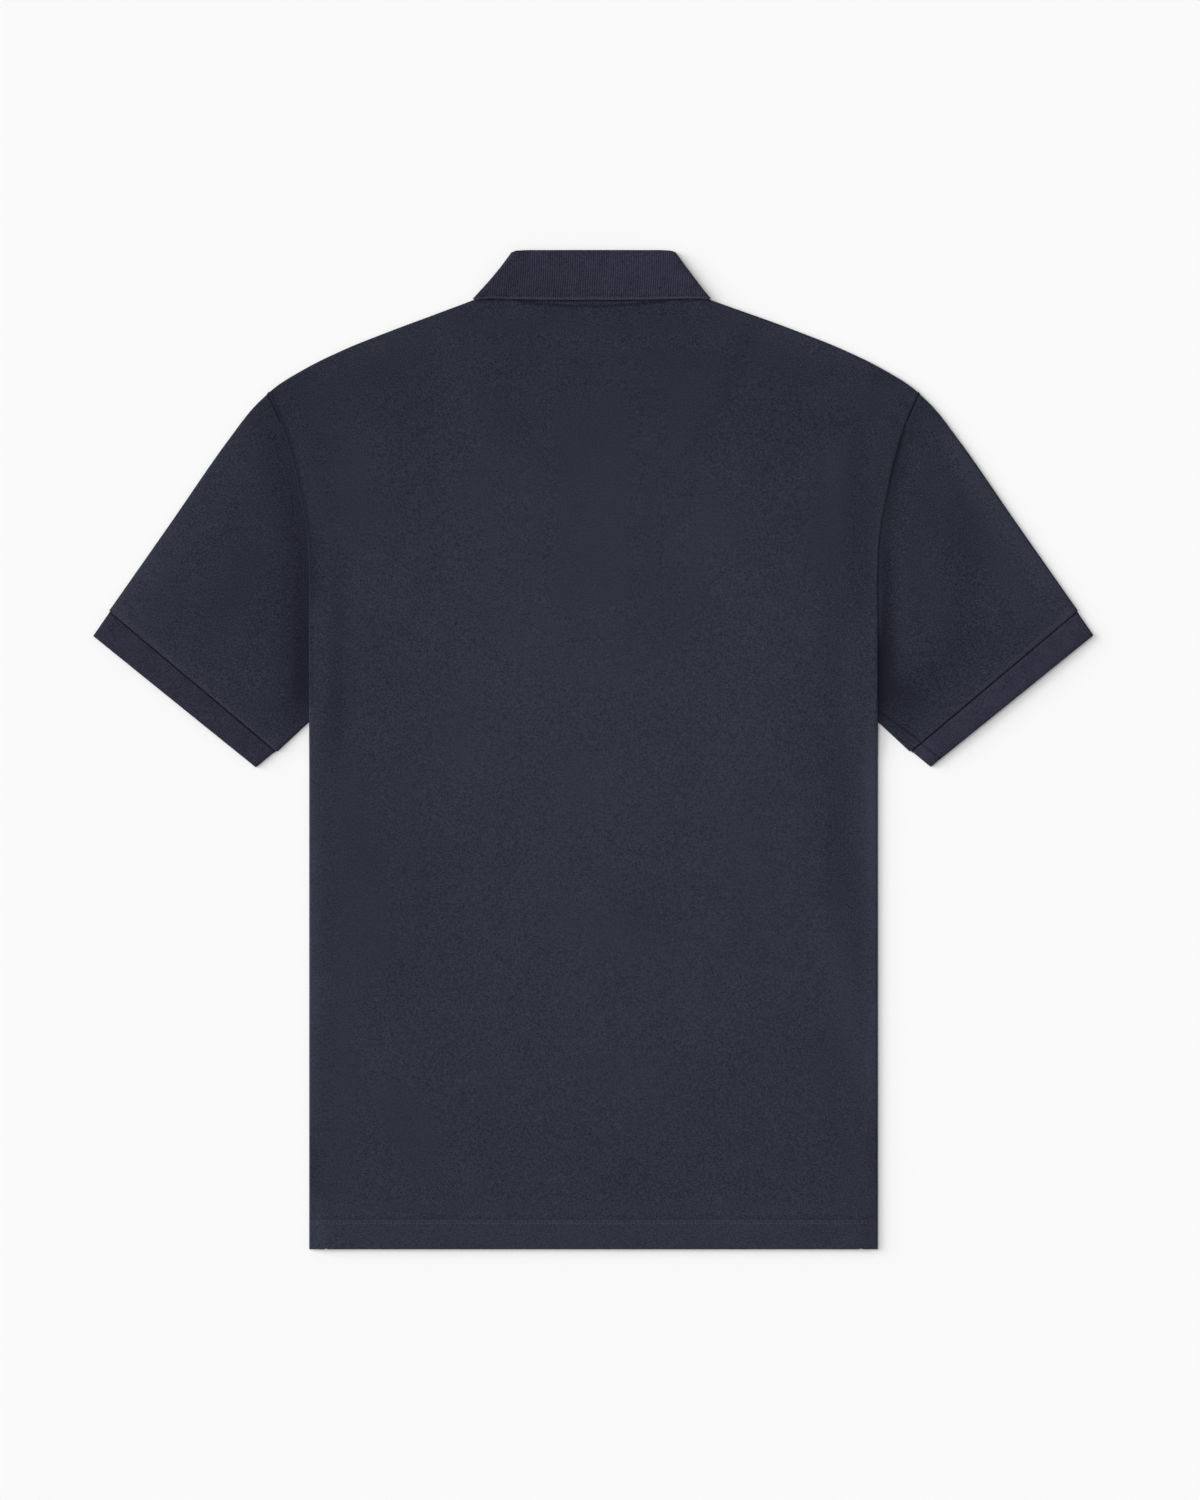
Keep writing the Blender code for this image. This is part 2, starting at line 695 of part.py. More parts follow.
def main():
    for old in list(bpy.data.objects):
        bpy.data.objects.remove(old)
    jersey = cloth_material("navy_pique", NAVY)
    rib = cloth_material("navy_rib", NAVY_RIB)
    resin = cloth_material("navy_resin", BUTTON_NAVY, roughness=0.35)
    make_back(jersey)
    make_front(jersey)
    make_sleeve("sleeve_left", jersey, mirrored=True)
    make_sleeve("sleeve_right", jersey, mirrored=False)
    make_cuff("cuff_left", rib, mirrored=True)
    make_cuff("cuff_right", rib, mirrored=False)
    make_collar(rib)
    make_placket("placket_top", jersey, PLACKET_HALF - GAP, layer=0)
    make_placket("placket_under", jersey, PLACKET_HALF - 1.0, layer=1)
    for number, y in enumerate(BUTTON_YS, start=1):
        make_button(f"button_{number}", resin, y)


main()
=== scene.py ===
"""Short-sleeved polo shirt of navy pique, laid flat on its front with its back up.

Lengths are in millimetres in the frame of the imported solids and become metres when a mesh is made.
"""
import math

import bmesh
import bpy
import numpy as np
from mathutils import Matrix, Vector


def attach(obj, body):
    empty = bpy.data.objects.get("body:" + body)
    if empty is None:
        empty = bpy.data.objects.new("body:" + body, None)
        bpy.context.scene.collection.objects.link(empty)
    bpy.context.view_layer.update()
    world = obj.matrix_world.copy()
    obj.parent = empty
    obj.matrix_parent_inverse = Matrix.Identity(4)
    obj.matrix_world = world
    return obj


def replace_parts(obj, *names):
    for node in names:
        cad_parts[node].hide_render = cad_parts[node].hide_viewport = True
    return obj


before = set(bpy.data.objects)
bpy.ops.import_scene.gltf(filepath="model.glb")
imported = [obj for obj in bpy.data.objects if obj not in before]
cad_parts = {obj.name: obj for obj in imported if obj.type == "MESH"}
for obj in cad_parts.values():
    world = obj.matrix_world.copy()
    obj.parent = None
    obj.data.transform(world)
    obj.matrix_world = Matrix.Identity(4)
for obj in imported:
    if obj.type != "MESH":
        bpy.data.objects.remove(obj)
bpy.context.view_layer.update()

TAU = 2.0 * math.pi

# ---- Sizes of the shirt (mm), as its solids have them ----
OVERALL_LENGTH = 780.0
BODY_WIDTH = 444.0
WALL = 1.2
GAP = 0.3
SEAM_TURN = 10.0
UNDERARM_Y = 33.0
NECK_HALF = 82.0
FRONT_TIP_X = 256.3
BACK_TIP_X = 253.2
SLEEVE_TIP_X = 255.0
BACK_NECK_Y = 350.6
BACK_NECK_RISE = 2.6
FRONT_NECK_Y = 262.0
PUFF = 1.5
PLACKET_HALF = 16.0
PLACKET_BOTTOM_Y = 125.0
BUTTON_YS = (246.0, 186.0)
BUTTON_RADIUS = 5.5
BUTTON_HEIGHT = 1.8
SLOT_ANGLE = 11.85          # angle round the neck scoop (degrees) where it meets the placket's side

HEM_Y = -OVERALL_LENGTH / 2
BODY_HALF = BODY_WIDTH / 2
LAYER = WALL + GAP
FOLD = LAYER / 2
EDGE = FOLD + WALL / 2

TOP_OUTLINE = (
    # x, y
    (62, 362.8),
    (95, 350.15),
    (157, 327.45),
    (196, 311.8),
    (227.4, 296.2),
    (251.2, 280.8),
    (267.4, 265.3),
    (285.3, 242),
    (330.9, 176.2),
    (378, 108.8),
)
BACK_EDGE = (
    # y, x
    (33, 222),
    (100, 222),
    (143, 222.1),
    (159.7, 222.9),
    (178.5, 225.1),
    (198.7, 229.2),
    (227.6, 235.6),
    (254.9, 244.1),
    (277.6, 253.9),
)
ARMHOLE_LAP = (
    # y, lap of the back over the sleeve
    (33.0, SEAM_TURN),
    (195.0, SEAM_TURN),
    (225, 6),
    (245, 1),
    (258, -0.5),
    (300, -0.5),
)
UNDERARM = Vector((222.0, 22.1))
SLEEVE_LOW = Vector((247.0, -1.6))
CUFF_START = (Vector((378.1, 107.1)), Vector((249.0, -1.7)))
CUFF_END = (Vector((390.3, 89.4)), Vector((263.2, -13.4)))
COLLAR_BACK = (
    # seam x as a share of the neck, fold x, fold y, edge x, edge y
    (0, 0, 388.65, 0, 351.1),
    (0.25, 14, 388.65, 22.8, 351.1),
    (0.5, 28.2, 388.65, 45.7, 351.3),
    (0.75, 43.5, 388.65, 68.5, 351.9),
    (0.9, 53.4, 388.65, 81.8, 352.1),
    (1, 61, 388.2, 91.3, 351.6),
)
COLLAR_FRONT = (
    # angle round the neck scoop (degrees), fold x, fold y, edge x, edge y
    (90, 58, 372, 93.5, 333),
    (70, 52, 343, 88, 312),
    (55, 44, 323, 80, 291),
    (40, 33.5, 308, 71, 271.5),
    (25, 21.5, 297.5, 62, 254.5),
    (SLOT_ANGLE, 11, 291, 54, 241),
    (1.6, 2.6, 287.5, 46, 230),
)
COLLAR_POINT_Y = 230.0
COLLAR_SIDE = Vector((0.752, 0.659, 0.0))
LEAF_MARGIN = 9.0
BACK_MARGIN = 8.0
LEAF_RAMP = 20.0
MOUND_RAMP = 80.0
BUMP_RAMP = 14.0

# ---- How the real cloth departs from the plain solids (mm) ----
SOFT_TURN = 1.0             # half-width of a softly turned edge, to the middle of its wall
RIM_ROUNDING = 0.34         # bevel of a cut edge
RIM_CORNER = 58.0           # least angle (degrees) that is rounded so
SOFT_EDGE = SOFT_TURN + WALL / 2
EDGE_RISE = 0.7             # how much rounder the turned edges stand
SWELL = 1.3                 # air between the panels, inside the edges
HEM_TOP = 4.6               # middle of the back's wall over both folded hems
HEM_TURN = 0.65             # radius of the hem's fold
HEM_SEAM_Y = HEM_Y + 21.3   # stitching of the hem
HEM_SIDE = 208.5            # half-width of the hems' folded layers
HEM_RISE_Y = -348.0         # where the back starts to rise over the hems' folded layers
HEM_TAPER = 9.0             # length over which a hem's fold thins out at its ends
HEM_GROOVE = 0.16           # how far its stitching draws the back in, and the front
FRONT_HEM_GROOVE = 0.32
CORNER_DIP = 2.7            # how far the collar's fold dips as it turns round its corner
SIDE_BOW = 0.8              # how far the collar's side is drawn in halfway down
NECK_LINE_Y = 346.1         # topstitching below the back neck seam, which rises to both sides
NECK_LINE_RISE = 2.4
NECK_LINE_REACH = 64.0      # how far it runs to each side
NECK_GROOVE = 0.46
NECK_PULL = 1.15            # how far the neck is pulled to the left
NECK_PULL_Y = 353.0
LEFT_CORNER = 0.56          # how much further the collar's left corner reaches, aside and down
LEFT_CORNER_SIZE = (7.0, 5.0)
LIP_WALL = 1.7              # thickness of the collar's rolled lip
SLEEVE_LENGTH = 150.0       # armhole to cuff, and the cuff's own length, as a scale for their ends
CUFF_LENGTH = 20.0
CUFF_LONGER = {"left": 0.65, "right": 0.0}
SEAM_GROOVE = 0.45          # depth of the underarm seam where it lies on top
STITCH = 2.5                # sewing: length of a stitch, from one to the next, and the thread's radius
STITCH_PITCH = 3.0
THREAD = 0.2
HEM_NEEDLES = 1.0           # half the distance between the hem's two rows
PLACKET_STITCH_IN = 2.4     # from a strip's edge to its stitching
PLACKET_LINES = (PLACKET_BOTTOM_Y + 2.6, PLACKET_BOTTOM_Y + 14.0)
ALLOWANCE_WALL = 0.5        # wall of a pressed seam allowance
HOLE_OFFSET = 1.45          # from a button's axis to a hole's
HOLE_RADIUS = 0.8
HOLE_THREAD = 0.45          # radius of the thread down through a hole
BUTTONHOLE_HALF = 8.6       # half the length of a buttonhole, and of its gap
BUTTONHOLE_GAP = 0.75
BUTTONHOLE_STITCHES = 44
EDGE_TURN = (
    # y, angle (degrees), strip length, height of the strip's end, turn radius up and down
    (-390, 180, 10, 0.6, 1.1),
    (-15, 180, 10, 0.6, 1.1),
    (22, 180, 8, 3.6, 0.9),
    (105, 180, 6, 3.6, 0.85),
    (130, 170, 0.6, 3.5, 0.85),
    (165, 92, 0.3, 2.9, 0.85),
    (240, 92, 0.3, 2.9, 0.85),
    (262, 92, 0.3, 2.1, 0.85),
    (300, 92, 0.3, 2.1, 0.85),
)

# Creases that the cloth keeps from folding and handling: from x, y to x, y, sideways bow, half-width
# and height. A trough has a height below nothing.
BACK_CREASES = (
    (-178, -20, -171, -178, 4, 17, -0.55),
    (-150, 30, -143, -150, -6, 20, 0.40),
    (203, 66, 199, -158, 5, 15, -0.50),
    (178, 40, 172, -120, -5, 18, 0.32),
    (-172, -262, -126, -338, 9, 17, -0.55),
    (176, -228, 214, -300, -8, 15, -0.60),
    (158, -262, 188, -330, 6, 14, 0.34),
    (-120, 318, -38, 262, 12, 22, 0.42),
    (-66, 236, -98, 176, -9, 21, 0.46),
    (52, 212, 116, 142, 14, 25, 0.44),
    (-118, 132, 18, 36, 16, 28, 0.40),
    (-22, 6, 8, -62, -8, 23, 0.42),
    (170, 309, 212, 283, 5, 13, -0.70),
    (-206, 262, -176, 150, 9, 15, -0.38),
    (204, 246, 178, 132, -10, 16, -0.42),
    (-60, -120, 64, -176, 12, 26, -0.30),
    (-40, -228, 92, -262, -10, 30, 0.34),
    (-106, -190, -78, -300, 8, 20, 0.28),
    (100, -30, 126, -148, 10, 22, -0.30),
    (-96, 60, -108, -40, -6, 18, -0.30),
)
FRONT_CREASES = (
    (-150, -40, -132, -190, 8, 16, 0.50),
    (128, 60, 150, -96, -9, 18, 0.55),
    (-92, -232, 30, -276, 12, 20, 0.42),
    (64, -150, 118, -286, 10, 15, 0.48),
    (-120, 172, -168, 84, 8, 17, 0.46),
    (110, 196, 170, 120, -8, 16, 0.44),
    (-30, 70, -62, -58, 7, 22, 0.40),
)
RIGHT_SLEEVE_CREASES = (
    (262, 226, 338, 128, 8, 14, 0.45),
    (246, 178, 290, 74, -8, 13, -0.45),
    (268, 150, 330, 92, 6, 11, 0.40),
    (248, 96, 276, 24, -5, 9, 0.35),
    (296, 190, 352, 122, 5, 9, -0.35),
)
# The same on the left sleeve, mirrored, which was folded differently.
LEFT_SLEEVE_CREASES = (
    (258, 238, 320, 150, -7, 13, 0.45),
    (252, 160, 300, 58, 9, 14, -0.40),
    (280, 176, 346, 112, 6, 12, 0.35),
    (240, 120, 262, 40, 5, 9, 0.35),
)
UNDERARM_SEAM = ((214.0, 34.8), (224.5, 28.7), (241.0, 17.0), (249.8, 10.8), (258.6, 2.9), (271.5, -7.2))

# Soft patches of the back lighter or darker than the cloth round them, partly uneven fading and partly
# painted shade and light over shallow folds: x, y, half-width, half-length and tone.
WEAR_AND_SHADE = (
    (-120, 312, 42, 26, 0.04),
    (-81, 218, 34, 40, 0.03),
    (83, 179, 46, 34, 0.09),
    (-53, 86, 78, 46, 0.08),
    (-3, -24, 36, 52, 0.07),
    (228, 292, 14, 8, -0.22),
    (183, 276, 24, 16, 0.18),
    (-151, -304, 26, 30, -0.06),
    (192, -268, 16, 34, -0.06),
    (-166, -101, 30, 84, -0.03),
    (140, -60, 44, 120, 0.10),
    (10, -110, 60, 70, 0.04),
    (40, -210, 60, 40, 0.05),
    (-40, 290, 50, 22, -0.04),
    (0, 340, 66, 17, -0.13),
    (-175, 232, 22, 28, 0.16),
    (50, 240, 26, 36, 0.12),
    (-105, -20, 34, 34, 0.18),
    (60, 20, 34, 26, 0.08),
    (125, 55, 26, 42, 0.12),
    (-30, -110, 28, 60, 0.09),
    (-70, 150, 24, 44, -0.09),
    (69, 307, 30, 16, -0.14),
    (-150, 300, 24, 14, -0.12),
    (30, -128, 26, 24, -0.13),
    (-150, -245, 26, 30, 0.10),
    (165, -378, 22, 8, -0.15),
    (-60, 254, 34, 22, -0.12),
    (118, 338, 14, 8, 0.16),
    (-8, 130, 30, 24, -0.08),
    (170, 222, 30, 24, 0.09),
    (95, 118, 34, 34, 0.08),
    (-40, 180, 26, 90, -0.06),
    (0, 60, 22, 18, 0.08),
    (160, -160, 22, 50, 0.08),
    (60, -320, 40, 28, -0.07),
    (60, -178, 34, 18, -0.06),
    (192, 140, 22, 28, -0.06),
)
# Streaks of painted shade and painted light along creases and turned edges, laid out as the creases are, with
# a tone in place of the height.
BACK_STREAKS = (
    (205, 240, 201, 96, 2, 11, -0.40),
    (200, 120, 188, -20, 3, 14, -0.15),
    (189, -10, 199, -156, -4, 12, -0.20),
    (220, 40, 220, -290, 0, 6, 0.42),
    (182, -128, 217, -270, -3, 12, 0.28),
    (189, 246, 184, 205, 2, 9, 0.20),
    (220, -296, 220, -350, 0, 7, -0.26),
    (-220, 36, -220, -298, 0, 6, 0.40),
    (-215, -178, -215, -216, 0, 8, 0.18),
    (-217, 176, -218, 112, 0, 7, -0.42),
    (-206, 50, -204, -20, 0, 10, -0.12),
    (-220, -304, -220, -352, 0, 8, -0.28),
    (218, 30, 217, -105, 0, 8, 0.46),
    (-210, 300, -150, 324, 0, 9, 0.16),
    (210, 300, 130, 332, 0, 9, 0.18),
)
# The same painted shade and light on the sleeves.
RIGHT_SLEEVE_STREAKS = (
    (272, 260, 306, 196, 0, 10, 0.50),
    (298, 208, 376, 106, 0, 15, 0.47),
    (242, 26, 290, 82, 3, 14, -0.28),
    (286, 216, 285, 64, 3, 15, -0.26),
    (318, 150, 340, 92, 0, 14, 0.16),
    (236, 24, 246, 8, 0, 8, -0.20),
    (229, 92, 237, 30, 0, 9, -0.32),
    (238, 58, 246, 26, 0, 14, -0.38),
    (238, 170, 246, 74, 2, 6, 0.10),
)
LEFT_SLEEVE_STREAKS = (
    (322, 192, 382, 104, 0, 21, 0.40),
    (270, 178, 262, 86, 5, 23, -0.17),
    (226, 66, 234, 26, 0, 9, -0.14),
    (236, 15, 262, -5, 0, 8, 0.36),
)
BESIDE_BODY_SHADE = (
    # y, how much painted shade darkens a sleeve beside the body
    (16, 0.05),
    (30, 0.25),
    (43, 1),
    (88, 1),
    (125, 0.60),
    (180, 0.30),
    (240, 0),
)

SLEEVE_CREASES = {"left": LEFT_SLEEVE_CREASES, "right": RIGHT_SLEEVE_CREASES}
SLEEVE_STREAKS = {"left": LEFT_SLEEVE_STREAKS, "right": RIGHT_SLEEVE_STREAKS}
# Painted light and shade by a cuff's seam, lighter above nothing: above the roll at the sleeve's end, on the
# roll, and on the cuff.
CUFF_SEAM_SHADING = {"left": (0.20, 0.16, 0.16), "right": (-0.04, 0.66, -0.20)}
# Painted light and shade on each cuff, lighter above nothing:
CUFF_SHADING = {"left": (-0.09, 0.06), "right": (0.18, -0.26)}     # the whole cuff, and more at its end

NAVY = (0.0256, 0.0281, 0.0454)
NAVY_RIB = (0.0231, 0.0222, 0.0394)
BUTTON_NAVY = (0.025, 0.027, 0.040)
PIQUE_CELL = (1.56, 1.32)   # from one cell of the pique to the next in line (mm), across and along
RIB_CORD = 1.76             # from one cord of the rib to the next, and from loop to loop along it
RIB_LOOP = 0.9


# ---- Curves and eases, on single numbers or arrays ----

def ease(share):
    """Go smoothly from 0 to 1 as share does, and stay there beyond."""
    share = np.clip(share, 0.0, 1.0)
    return share * share * (3.0 - 2.0 * share)


def bell(past, width):
    """Go from 1 at nothing to 0 on both sides, and about a third at width."""
    return np.exp(-((past / width) ** 2))


def spaced(start, *stretches):
    """Places from start along stretches that follow on, each given as its end and count of steps."""
    places = [start]
    for end, steps in stretches:
        places += list(np.linspace(places[-1], end, steps + 1)[1:])
    return np.array(places)


def table_curve(rows, place, column=1):
    """Read a smooth curve through one column of a table whose first column rises."""
    table = np.array(rows, float)
    places, values = table[:, 0], table[:, column]
    slopes = np.gradient(values, places)
    low = np.clip(np.searchsorted(places, place) - 1, 0, len(rows) - 2)
    step = places[low + 1] - places[low]
    t = np.clip((place - places[low]) / step, 0.0, 1.0)
    start = (2 * t**3 - 3 * t**2 + 1) * values[low] + (t**3 - 2 * t**2 + t) * step * slopes[low]
    return start + (3 * t**2 - 2 * t**3) * values[low + 1] + (t**3 - t**2) * step * slopes[low + 1]


def table_points(rows, place, columns):
    """Read several columns of a table at one place, as plain numbers."""
    return [float(table_curve(rows, place, column)) for column in columns]


def table_eased(rows, place, column):
    """Read a column of a table, easing from each row's value to the next."""
    value = rows[0][column] + 0.0 * np.asarray(place, float)
    for above, below in zip(rows[1:], rows):
        value = value + (above[column] - below[column]) * ease((place - below[0]) / (above[0] - below[0]))
    return value


def outline(x, inset=0.0):
    """Give the point of the top outline at x, moved in by inset, and the outline's normal there."""
    reach = 0.5
    slope = (table_curve(TOP_OUTLINE, x + reach) - table_curve(TOP_OUTLINE, x - reach)) / (2 * reach)
    length = np.hypot(slope, 1.0)
    across, up = -slope / length, 1.0 / length
    return x - across * inset, table_curve(TOP_OUTLINE, x) - up * inset, across, up


def layer_height(number):
    """Height of the middle of a layer that lies flat, counted from 0 at the floor."""
    return WALL / 2 + number * LAYER


def line_offset(x, y, line):
    """Distance of points from a crease's bowed line, and how far along it they are, 0 to 1."""
    x0, y0, x1, y1, bow = line[:5]
    length = math.hypot(x1 - x0, y1 - y0)
    ahead, aside = ((x1 - x0) / length, (y1 - y0) / length), (-(y1 - y0) / length, (x1 - x0) / length)
    along = ((x - x0) * ahead[0] + (y - y0) * ahead[1]) / length
    held = np.clip(along, 0.0, 1.0)
    wander = bow * (4.0 * held * (1.0 - held)) + 0.22 * bow * np.sin(held * 9.0)
    across = (x - x0) * aside[0] + (y - y0) * aside[1] - wander
    return np.hypot(across, (along - held) * length), held


def crease_sum(x, y, creases):
    """Sum of soft troughs and ridges, or of streaks of tone, each fading out towards its ends."""
    total = np.zeros(np.shape(x))
    for crease in creases:
        distance, along = line_offset(x, y, crease)
        fading = 0.25 + 0.75 * np.sin(math.pi * along) ** 0.8
        total += crease[6] * fading * bell(distance, crease[5])
    return total


def path_distance(x, y, path):
    """Distance of points from a path of straight pieces."""
    nearest = np.full(np.shape(x), 1e6)
    for start, end in zip(path, path[1:]):
        nearest = np.minimum(nearest, line_offset(x, y, (*start, *end, 0.0))[0])
    return nearest


# ---- How the panels lie ----

def leaf_lift(x, y, margin):
    """Height that the collar points below add to a panel over them."""
    edges = sorted((row[4], row[3]) for row in COLLAR_FRONT)
    reach = np.interp(y, [edge[0] for edge in edges], [edge[1] for edge in edges])
    past = np.maximum(np.maximum(np.abs(x) - reach, COLLAR_POINT_Y - y), 0.0)
    return LAYER * ease(1.0 - (past - margin) / LEAF_RAMP)


def front_lift(x, y):
    """Height of the front and of the placket above the floor."""
    lift = leaf_lift(x, y, LEAF_MARGIN)
    for button_y in BUTTON_YS:
        past = np.hypot(x, y - button_y) - BUTTON_RADIUS - 1.0
        lift = np.maximum(lift, (BUTTON_HEIGHT + GAP) * ease(1.0 - past / BUMP_RAMP))
    return lift


def mound_share(x, y):
    """How much of the placket's height the back stands up by."""
    aside = np.maximum(np.abs(x) - PLACKET_HALF, 0.0)
    below = np.maximum(PLACKET_BOTTOM_Y - y, 0.0)
    above = np.maximum(y - FRONT_NECK_Y - 4.0, 0.0)
    return ease(1.0 - np.hypot(aside, below + above) / MOUND_RAMP)


def back_lift(x, y):
    """Height that the collar points, placket and buttons add to the back."""
    mound = (BUTTON_HEIGHT + GAP + LAYER) * mound_share(x, y)
    return np.maximum(leaf_lift(x, y, LEAF_MARGIN + BACK_MARGIN), mound)


def back_edge(y):
    """Outer edge of the back at y."""
    return np.where(y > UNDERARM_Y, table_curve(BACK_EDGE, y), BODY_HALF)


def edge_facts(y):
    """Turned edge of the back at y: angle, strip length, start height and turn radius."""
    angle = np.radians(table_eased(EDGE_TURN, y, 1))
    length, low, radius = (table_eased(EDGE_TURN, y, column) for column in (2, 3, 4))
    return angle, length, low + radius * (1.0 - np.cos(angle)) + length * np.sin(angle), radius


def sleeve_edge(y):
    """Armhole edge of the sleeve at y."""
    return back_edge(y) - table_eased(ARMHOLE_LAP, y, 1)


def back_neck(x):
    """Height up the shirt of the back neck seam at x."""
    return BACK_NECK_Y + BACK_NECK_RISE * (x / NECK_HALF) ** 2


def neck_pull(x, y):
    """How far the cloth round the neck is pulled sideways."""
    return -NECK_PULL * bell(y - NECK_PULL_Y, 14.0) * ease((150.0 - np.abs(x)) / 40.0)


def neck_line(x):
    """Height up the shirt of the topstitching below the back neck seam."""
    return NECK_LINE_Y + NECK_LINE_RISE * (x / 46.0) ** 2


def hem_share(x, y):
    """How much of the folded hems' height the back has."""
    return ease((HEM_RISE_Y - y) / 20.0) * ease((219.5 - np.abs(x)) / 11.0)


def hem_fullness(x):
    """How full a hem's fold is at x: it tapers at its ends, inside the side seams."""
    return 0.2 + 0.8 * ease((HEM_SIDE - np.abs(x)) / HEM_TAPER)


def inside_share(x, y):
    """How far inside the body's edges a point is: 0 at the edges, 1 well inside."""
    side = back_edge(y) - SOFT_EDGE - np.abs(x)
    top = table_curve(TOP_OUTLINE, np.maximum(np.abs(x), TOP_OUTLINE[0][0])) - y
    return ease((side - 5.0) / 46.0) * ease((top - 2.0) / 60.0)


def back_height(x, y):
    """Height of the middle of the back's wall."""
    resting = layer_height(1) + back_lift(x, y)
    inside = inside_share(x, y)
    from_collar = np.hypot(np.maximum(np.abs(x) - 90.0, 0.0), np.maximum(343.0 - y, 0.0))
    near_collar = ease(1.0 - from_collar / 40.0)
    swell = (SWELL - EDGE_RISE) * inside * (1.0 - 0.6 * mound_share(x, y))
    creases = crease_sum(x, y, BACK_CREASES) * ease((BODY_HALF - np.abs(x)) / 30.0)
    creases *= ease((y - HEM_Y - 18.0) / 20.0)
    soft = resting + EDGE_RISE * (1.0 - near_collar) + (swell + creases) * (1.0 - near_collar)
    # Soft cloth still rests on what is below it.
    soft = np.maximum(soft, resting)
    _, _, edge_top, _ = edge_facts(y)
    past = back_edge(y) - SOFT_EDGE - np.abs(x) - SEAM_TURN - 1.0
    share = ease(1.0 - past / (2 * SEAM_TURN)) * ease((296.0 - y) / 20.0 + 1.0)
    height = soft + np.maximum(edge_top - soft, -0.2) * share
    height = height + (HEM_TOP - height) * hem_share(x, y)
    stitched = ease((220.0 - np.abs(x)) / 4.0)
    height -= HEM_GROOVE * bell(y - HEM_SEAM_Y, 1.3) * stitched
    height -= NECK_GROOVE * bell(neck_line(x) - y, 1.1) * ease((NECK_LINE_REACH + 2.0 - np.abs(x)) / 8.0)
    return height


def front_height(x, y):
    """Height of the middle of the front's wall."""
    inside = inside_share(x, y) * ease((y - HEM_Y - 28.0) / 20.0) * (1.0 - mound_share(x, y))
    below_neck = ease((FRONT_NECK_Y - 30.0 - y) / 30.0)
    ridges = np.minimum(crease_sum(x, y, FRONT_CREASES), 0.6) * inside * below_neck
    groove = FRONT_HEM_GROOVE * bell(y - HEM_SEAM_Y, 1.9)
    return layer_height(0) + front_lift(x, y) + ridges + groove


def neck_corner():
    """Upper end of the front neck scoop, where the front's shoulder seam starts."""
    return Vector(outline(NECK_HALF, EDGE + SEAM_TURN + GAP)[:2])


def front_neck(angle):
    """Point of the front neck scoop at an angle from the centre line, as on an ellipse."""
    corner = neck_corner()
    return corner.x * np.sin(angle), corner.y - (corner.y - FRONT_NECK_Y) * np.cos(angle)


# ---- Making cloth ----

class Cloth:
    """Grid of cloth that keeps, for each point, where it was when flat and how faded it is, with its painted
    shade and light.
    """

    def __init__(self, places, flats, fades_and_shades, closed=False):
        rows, columns = places.shape[:2]
        places = places.copy()
        places[:, :, 0] += neck_pull(places[:, :, 0], places[:, :, 1])
        self.mesh = bmesh.new()
        self.flat = self.mesh.verts.layers.float_vector.new("flat")
        self.fade = self.mesh.verts.layers.float.new("fade")
        self.map = self.mesh.loops.layers.uv.new("cloth")
        bmesh.ops.create_grid(self.mesh, x_segments=columns - 1, y_segments=rows - 1, size=0.5)
        points = zip(self.mesh.verts, places.reshape(-1, 3), flats.reshape(-1, 2), fades_and_shades.reshape(-1))
        for vert, place, flat, fade in points:
            self.put(vert, place, flat, fade)
        self.write_flats(self.mesh.faces)
        self.columns = columns
        if closed:
            bmesh.ops.remove_doubles(self.mesh, verts=self.mesh.verts, dist=1e-6)

    def put(self, vert, place, flat, fade):
        """Move a point to its place (mm) and note its flat place (mm) and how faded it is, with its painted
        shade and light.
        """
        vert.co = Vector(place) / 1000.0
        vert[self.flat] = (flat[0] / 1000.0, flat[1] / 1000.0, 0.0)
        vert[self.fade] = fade

    def write_flats(self, faces):
        """Write the faces' map of where their cloth was when flat."""
        for face in faces:
            for loop in face.loops:
                loop[self.map].uv = loop.vert[self.flat].xy

    def turn_row(self, row, profile, ways, fade=0.0):
        """Extend a row of edge points by a turned strip.

        profile lists (outward, down, length of cloth) and ways gives each point's outward direction.
        """
        self.mesh.verts.index_update()
        starts = [(vert.co.copy() * 1000.0, vert[self.flat].copy() * 1000.0) for vert in row]
        for outward, down, length in profile:
            edges = [self.mesh.edges.get(pair) for pair in zip(row, row[1:])]
            made = bmesh.ops.extrude_edge_only(self.mesh, edges=edges)["geom"]
            fresh = [part for part in made if isinstance(part, bmesh.types.BMVert)]
            # Each new point stands at the place of the one that it was drawn from.
            places = {tuple(vert.co): vert for vert in fresh}
            row = [places[tuple(vert.co)] for vert in row]
            for vert, (place, flat), way in zip(row, starts, ways):
                moved = (place.x + way[0] * outward, place.y + way[1] * outward, place.z - down)
                self.put(vert, moved, (flat.x + way[0] * length, flat.y + way[1] * length), fade)
            self.write_flats([part for part in made if isinstance(part, bmesh.types.BMFace)])

    def finish(self, name, node, finish, mirrored=False, wall=WALL, lip=None):
        """Give the cloth its wall and make it a piece with its finish."""
        if mirrored:
            bmesh.ops.scale(self.mesh, vec=(-1.0, 1.0, 1.0), verts=self.mesh.verts)
        bmesh.ops.recalc_face_normals(self.mesh, faces=self.mesh.faces)
        self.mesh.verts.layers.float_vector.remove(self.flat)
        piece = make_piece(name, self.mesh, finish, node)
        solid = piece.modifiers.new("Wall", "SOLIDIFY")
        solid.thickness = wall / 1000.0
        solid.offset = 0.0
        solid.use_even_offset = False
        if lip is not None:
            solid.vertex_group = lip(piece)
        rounded = piece.modifiers.new("Rounded rim", "BEVEL")
        rounded.width = RIM_ROUNDING / 1000.0
        rounded.segments = 2
        rounded.limit_method = "ANGLE"
        rounded.angle_limit = math.radians(RIM_CORNER)
        return piece


